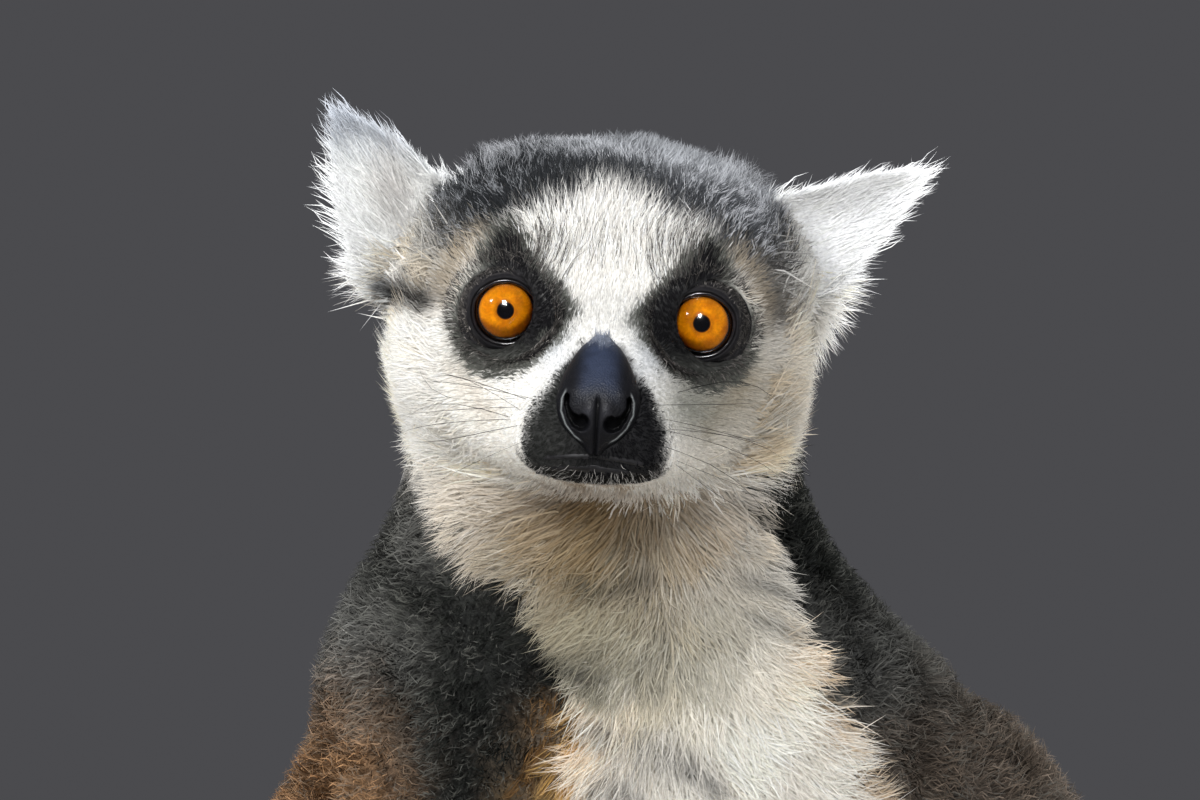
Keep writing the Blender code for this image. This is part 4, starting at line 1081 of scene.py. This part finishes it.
def grow(name, slot, weight, count, length, rise, width, seed, bends=1, lock=0, pull=0.6, bed=None,
        stray=0.25, twist=0.7, pepper=0.12, frost=0, root_tone=0.6, tip_tone=1.1, soft=0.65,
        spread=(0.75, 1.2), axis=((0, 20, 0), (0, 20, 380)), tint=None, silver=SILVER, hair=None,
        dyed_at=0.6, patchy=0, warm=0, curl=0.09):
    """One piece of coat. weight says how thickly each part of the skin is sown, length, rise and
    width are numbers or values at the skin's points: a tuft at s of its length is at
    root + lay * reach * s + outwards * rise * (1 - (1 - s) ** 2), and its tip leans to its lock's."""
    draw = np.random.default_rng(seed)
    bed_points, bed_faces, bed_out, bed_lay, bed_part = bed or SKIN_BED
    a, b, c = (bed_points[bed_faces[:, k]] for k in range(3))
    area = np.linalg.norm(np.cross(b - a, c - a), axis=1)
    chance = np.cumsum(weight[bed_faces].mean(axis=1) * area)
    picked = np.searchsorted(chance, (np.arange(count) + draw.random(count)) / count * chance[-1])
    picked = np.minimum(picked, len(bed_faces) - 1)
    share = np.sqrt(draw.random(count))
    second = draw.random(count)
    shares = np.stack([1 - share, share * (1 - second), share * second], axis=1)[:, :, None]
    corners = bed_faces[picked]

    def here(values):
        """Values of the bed's points, taken at the roots."""
        values = np.broadcast_to(values, (len(bed_points),) + np.shape(values)[1:])
        return (values[corners] * (shares if values.ndim > 1 else shares[..., 0])).sum(axis=1)

    def here_colour(tone):
        """One colour, or the bed's colours, at the roots."""
        return here(np.broadcast_to(tone, (len(bed_points), 3)))

    root = here(bed_points)
    out = unit(here(bed_out))
    part = bed_part[corners[np.arange(count), shares[..., 0].argmax(axis=1)]]
    size = draw.uniform(*spread, count)
    reach_out = here(rise) * draw.uniform(0.75, 1.15, count)
    full = np.maximum(here(length) * size, reach_out * 1.1)
    reach = np.sqrt(full ** 2 - reach_out ** 2)
    lay = here(bed_lay) + stray * (0.5 * draw.normal(size=(count, 3)) + waver(root, 16, seed))
    lay = unit(lay - out * (lay * out).sum(axis=1, keepdims=True))
    aside = np.cross(lay, out)
    lean = np.zeros((count, 3))
    fate, whim = np.zeros(count), draw.random(count)
    if lock:
        middle = lock_middle(root, lock, seed)
        fate, whim = scattered(middle, seed)[:, :2].T
        lean = middle - root
        lean -= out * (lean * out).sum(axis=1, keepdims=True)
        lean *= pull
    turn = draw.uniform(-twist, twist, count)[:, None]
    flat = aside * np.cos(turn) + out * np.sin(turn)
    half = (here(width) * draw.uniform(0.7, 1.3, count) / 2)[:, None]
    bow = draw.normal(0, curl, count)[:, None] * full[:, None]
    stations = np.linspace(0, 1, bends + 2)
    rows, tones = [], []
    for s in stations:
        middle = (root - out * 0.3 + lay * (reach * s)[:, None] + lean * s ** 1.5 +
            out * (reach_out * (1 - (1 - s) ** 2))[:, None] + aside * bow * math.sin(math.pi * s))
        wide = half * (0.75 + 0.6 * s) * (1 - s ** 2.5)
        rows += [middle - flat * wide, middle + flat * wide] if s < 1 else [middle]
        tones += [s, s] if s < 1 else [s]
    points = np.stack(rows, axis=1)
    points[..., 2] = np.maximum(points[..., 2], HAIR_FLOOR)
    each = points.shape[1]
    pattern = [(2 * k + a, 2 * k + b, 2 * k + c) for k in range(bends)
        for a, b, c in ((0, 1, 3), (0, 3, 2))]
    pattern.append((each - 3, each - 2, each - 1))
    faces = np.arange(count)[:, None, None] * each + np.array(pattern)
    strayed = draw.normal(size=(count, 3)) * (0.3 + 0.08 * full)[:, None]
    dyed = root + lay * (reach * dyed_at)[:, None] + strayed
    colour = dye(dyed, part) if tint is None else here_colour(tint)
    if tint is None and bed is None:
        blurred = ~np.isin(part, CRISP)
        colour[blurred] = here(skin_colour)[blurred]
    colour = mix(colour, colour * (0.95, 0.82, 0.62), warm * ease(0.55, 0.95, fate))
    bright = np.exp(draw.normal(0, pepper, count) + patchy * (2 * fate - 1))
    tones = np.array(tones)
    shaded = root_tone + (tip_tone - root_tone) * tones
    colours = (colour * bright[:, None])[:, None, :] * shaded[None, :, None]
    frosted = (whim < here(frost)) * draw.uniform(0.4, 1, count) * ease(0.5, 0.25, colour.mean(axis=1))
    frosted = (frosted[:, None] * ease(0.2, 0.8, tones)[None, :])[:, :, None]
    colours = colours * (1 - frosted) + frosted * here_colour(silver)[:, None, :]
    if tint is None:
        # painted shade in the creases of the chest and the ear's opening
        colours *= painted_crease_shade(points.reshape(-1, 3)).reshape(count, each, 1)
    piece = add_piece(name, points.reshape(-1, 3), faces.reshape(-1, 3), hair or coat_hair)
    give_colour(piece, np.clip(colours, 0, 0.95).reshape(-1, 3))
    across = np.cross(flat, lay)
    normal = unit(soft * out + (1 - soft) * across + 0.1 * draw.normal(size=(count, 3)))
    layer = piece.data.attributes.new("custom_normal", "FLOAT_VECTOR", "POINT")
    layer.data.foreach_set("vector", np.repeat(normal, each, axis=0).astype(np.float32).ravel())
    beside = np.stack([np.tile((-0.5, 0.5), bends + 1).tolist() + [0], tones], axis=1)
    place = np.clip(unwrap(root, *axis)[:, None, :] + 0.003 * beside[None], 0, 1)
    sheet = piece.data.uv_layers.new(name="OFBake")
    each_corner = place.reshape(-1, 2)[faces.reshape(-1)]
    sheet.uv.foreach_set("vector", each_corner.astype(np.float32).ravel())
    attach(piece, "root")


def on(*starts):
    """One at the skin's points that belong to body parts whose names start so, else nought."""
    return sum(np.char.startswith(skin_part, start) for start in starts).astype(float)


fx, fy, fz = to_face(skin_points).T
sx, sy, sz = skin_points.T
on_head = on(*HEAD_PARTS)
eye_gap = np.hypot(np.abs(fx) - EYE_SIDE, fz)
FACE_AXIS = (FACE_ORIGIN - (0, 0, 50), FACE_ORIGIN + (0, 0, 50))
FACE_HAIR = {"axis": FACE_AXIS, "hair": soft_hair}
PALE_FUR = {"bends": 2, "pull": 1, "twist": 0.4, "tip_tone": 1.03, "pepper": 0.04, "soft": 1,
    "hair": soft_hair, "dyed_at": 0.2, "patchy": 0.09}
short = 2.4 + 3 * ease(8, 24, fz) + 2.5 * ease(-10, 12, fy) - 0.8 * ease(14, 8, eye_gap)
short = np.where(fy < -12, 1.5 + 0.7 * ease(-24, -12, fy), short)
hind = ease(24, 32, fy)
cap = on_head * np.maximum(ease(8, 14, fz) * ease(5, 11, fy), hind)
dark_cap = cap * ease(0.4, 0.2, skin_colour.mean(axis=1))
slit = ease(1, 0.6, np.abs(fz - MOUTH + 1.2 * (fx / 12.2) ** 2)) * ease(-20, -24, fy)
grow("coat_face", "white_coat", on_head * (1 - slit) * np.maximum(ease(14, 6, fy),
    ease(40, 30, fy) * (cap - dark_cap)), 54000, short, skin_depth * 0.8, 0.26, 21, stray=0.2, lock=1.6,
    pull=0.4, root_tone=0.95, tip_tone=1.03, pepper=0.07, patchy=0.04, soft=0.85, **FACE_HAIR)
shoulder_of_cap = ease(12, 28, np.abs(fx)) * ease(8, 16, fz)
crest = ease(0.45, 0.1, np.abs(to_face(skin_out + FACE_ORIGIN)[:, 1]))
# painted light: the silver tips on the crown are paler and more of them towards plus x, the side the
# light falls from
grow("coat_crown", "grey_coat", dark_cap * (0.35 + 0.65 * ease(36, 18, fy)), 50000, 4.8 + 4 * hind,
    skin_depth * (0.58 + 0.22 * ease(4, 22, np.abs(fx)) + 0.2 * shoulder_of_cap), 0.24 + 0.25 * hind, 22,
    stray=0.45, lock=1.1, pull=0.8, pepper=0.25, patchy=0.2, root_tone=0.45, tip_tone=1.15,
    frost=0.3 + 0.1 * ease(-24, 4, fx) - 0.15 * hind,
    silver=mix((154, 156, 159), (232, 233, 236), ease(-20, 2, fx)), spread=(0.6, 1.35), axis=FACE_AXIS)
grow("crown_tips", "grey_coat", dark_cap * crest, 4500, 6,
    skin_depth * (0.65 + 0.4 * ease(6, 24, np.abs(fx)) + 0.4 * shoulder_of_cap), 0.12, 45, stray=0.8,
    lock=1.3, pull=0.2, pepper=0.3, frost=0.8, root_tone=0.6, spread=(0.6, 1.35),
    silver=paint(224, 225, 228), axis=FACE_AXIS)
for side_name, bed, share, rise in lid_beds:
    thick = ease(0.08, 0.3, share) * np.clip(ease(0.25, -0.2, rise) + ease(0.3, 0.5, share) + 0.4, 0, 1)
    grow(f"lid_hair_{side_name}", "black_coat", thick, 7000, 1 + 2 * share, 0.4 + 1.4 * share ** 2, 0.17,
        44, bed=bed, stray=0.5, twist=0.9, pepper=0.6, tip_tone=1.5, tint=paint(72, 69, 66),
        axis=FACE_AXIS)
grow("coat_cheeks", "white_coat", on_head * ease(0, 10, fy) * ease(14, 8, fz) * ease(13, 18, eye_gap) *
    (1 - hind), 42000, 12, skin_depth * (1 + 0.3 * ease(-14, -26, fx) * ease(2, -12, fz)), 0.34, 23,
    stray=0.42, lock=5.5, pull=0.9, root_tone=0.82, pepper=0.08, soft=0.85, spread=(0.6, 1.35),
    patchy=0.08, warm=0.6, **FACE_HAIR)
facing = -(to_face(skin_out + FACE_ORIGIN)[:, 1])
grow("coat_ears", "white_coat", on("ear"), 26000, 3.6, 1, 0.24, 24, stray=0.3, lock=2, pull=0.4,
    root_tone=0.98, pepper=0.05, soft=0.9, **FACE_HAIR)
grow("ear_fans", "white_coat", on("ear") * ease(0.2, 0.5, facing), 3500, 8, 1.7, 0.22, 28, bends=2,
    stray=0.15, lock=3, pull=0.8, root_tone=0.9, pepper=0.08, **FACE_HAIR)
grow("ear_fringe", "white_coat", on("ear") * ease(0.55, 0.3, np.abs(facing)), 6000, 4, 1.1, 0.16, 29,
    bends=2, stray=0.4, lock=2, pull=0.3, root_tone=0.97, pepper=0.05, spread=(0.5, 1.3), **FACE_HAIR)
light = paleness(skin_points)
inside_front, rear = pale_front(sx, sy, sz)
forward = 0.35 + 0.65 * ease(20, -5, rear)
left_rim = ease(12, 5, inside_front) * ease(6, -4, sx) * ease(262, 255, sz)
grow("coat_throat", "pale_coat", on("neck") * light * forward, 28000,
    np.clip(6 + 0.9 * inside_front, 6, 16), skin_depth, 0.37, 25, stray=0.3, lock=6, root_tone=0.95,
    warm=0.25, **PALE_FUR)
grow("coat_chest", "pale_coat", on("chest") * light * (0.45 + 0.55 * ease(200, 225, sz)), 32000,
    np.clip(6 + 0.9 * inside_front, 6, 19) * (1 - 0.3 * left_rim), skin_depth, 0.41 - 0.18 * left_rim, 26,
    stray=0.5, lock=8, root_tone=0.97, warm=0.12, **PALE_FUR)
behind = ease(5, 30, rear)
flank = ease(30, 52, np.abs(sx)) * ease(195, 215, sz) * (1 - behind)
grow("coat_shoulders", "grey_coat", (on("neck", "chest") * (1 - light) * forward + on("upper_arm") *
    (0.5 + 0.5 * ease(170, 200, sz))), 60000, 2.7 + 4 * behind + 1.6 * flank,
    skin_depth * (0.75 + 0.5 * flank), 0.33 + 0.4 * behind, 27, stray=2.6, lock=1.3, pull=0.9, pepper=0.3,
    patchy=0.35, root_tone=0.4, tip_tone=1.2, frost=0.3, silver=paint(104, 104, 98), curl=0.3)
brow = 0.12 + spot(np.abs(fx) - 10.5 - 0.25 * fz, 3.5)
brow = on_head * ease(3, 9, fz) * ease(24, 17, fz) * ease(10, 4, fy) * brow
grow("brow_hairs", "black_coat", brow, 620, 11, 1.8, 0.11, 41, bends=2, stray=0.14,
    tint=paint(82, 78, 74), axis=FACE_AXIS)
nose_bed = (nose_points, nose_faces, outward(nose_points, nose_faces),
    np.tile(from_face((0, 0.3, 1)) - FACE_ORIGIN, (len(nose_points), 1)),
    np.full(len(nose_points), "head"))
nx, _, nz = to_face(nose_points).T
fringe = ease(-7.6 + 0.4 * np.abs(nx), -4.2, nz) ** 2
skirt = ease(0.72, 0.86, np.abs(nx) / np.interp(nz, NOSE_LEVELS, NOSE_HALF)) * ease(-19, -22, nz)
grow("nose_down", "white_coat", fringe, 520, 1.8, 0.4, 0.12, 46, bed=nose_bed, stray=0.4,
    tint=paint(150, 156, 168), axis=FACE_AXIS)
grow("nose_skirt", "black_coat", skirt, 900, 1.3, 0.3, 0.16, 47, bed=nose_bed, stray=1, tint=BLACK,
    axis=FACE_AXIS)
grow("chin_hairs", "pale_coat", on_head * ease(-28.6, -29.5, fz) * ease(-18, -24, fy), 200, 2.4, 1.2,
    0.12, 42, stray=0.6, tint=paint(176, 174, 170), axis=FACE_AXIS)
whisker = on_head * spot(np.abs(fx) - 13.5, 2.5, fz + 20, 4)
grow("whiskers", "black_coat", whisker * ease(-10, -16, fy), 18, 32, 15, 0.13, 43, bends=5, stray=0.16,
    spread=(0.5, 1.1), tint=paint(36, 34, 34), axis=FACE_AXIS)
pale_belly = on("belly", "rump") * ease(0.18, 0.35, skin_colour.mean(axis=1))
grow("coat_underside", "pale_coat", pale_belly, 14000, 12, skin_depth * 0.85, 0.8, 34, stray=0.5, lock=6,
    pull=0.9, root_tone=0.9, pepper=0.06, patchy=0.06, soft=0.95, hair=soft_hair)
dark_belly = on("belly", "rump") - pale_belly
for number, (name, sown, count, length, width, curl) in enumerate([
        ("coat_belly", dark_belly, 24000, 11, 0.95, 0.7),
        ("coat_thighs", on("thigh"), 24000, 11.5, 0.85, 0.7),
        ("coat_limbs", on("forearm", "shank"), 20000, 7, 0.62, 0.5),
        ("coat_hands_feet", on("hand", "foot"), 14000, 2.2, 0.38, 0.4)]):
    grow(name, "grey_coat", sown, count, length, skin_depth * 0.85 + 0.3, width, 30 + number, lock=3,
        pull=0.6, stray=curl, pepper=0.16, patchy=0.2, root_tone=0.6, tip_tone=1.15)
grow("coat_tail", "black_coat", on("tail"), 33000, 13, skin_depth, 0.78, 35, lock=4, pull=0.7, stray=0.35,
    pepper=0.1, root_tone=0.75, hair=soft_hair)
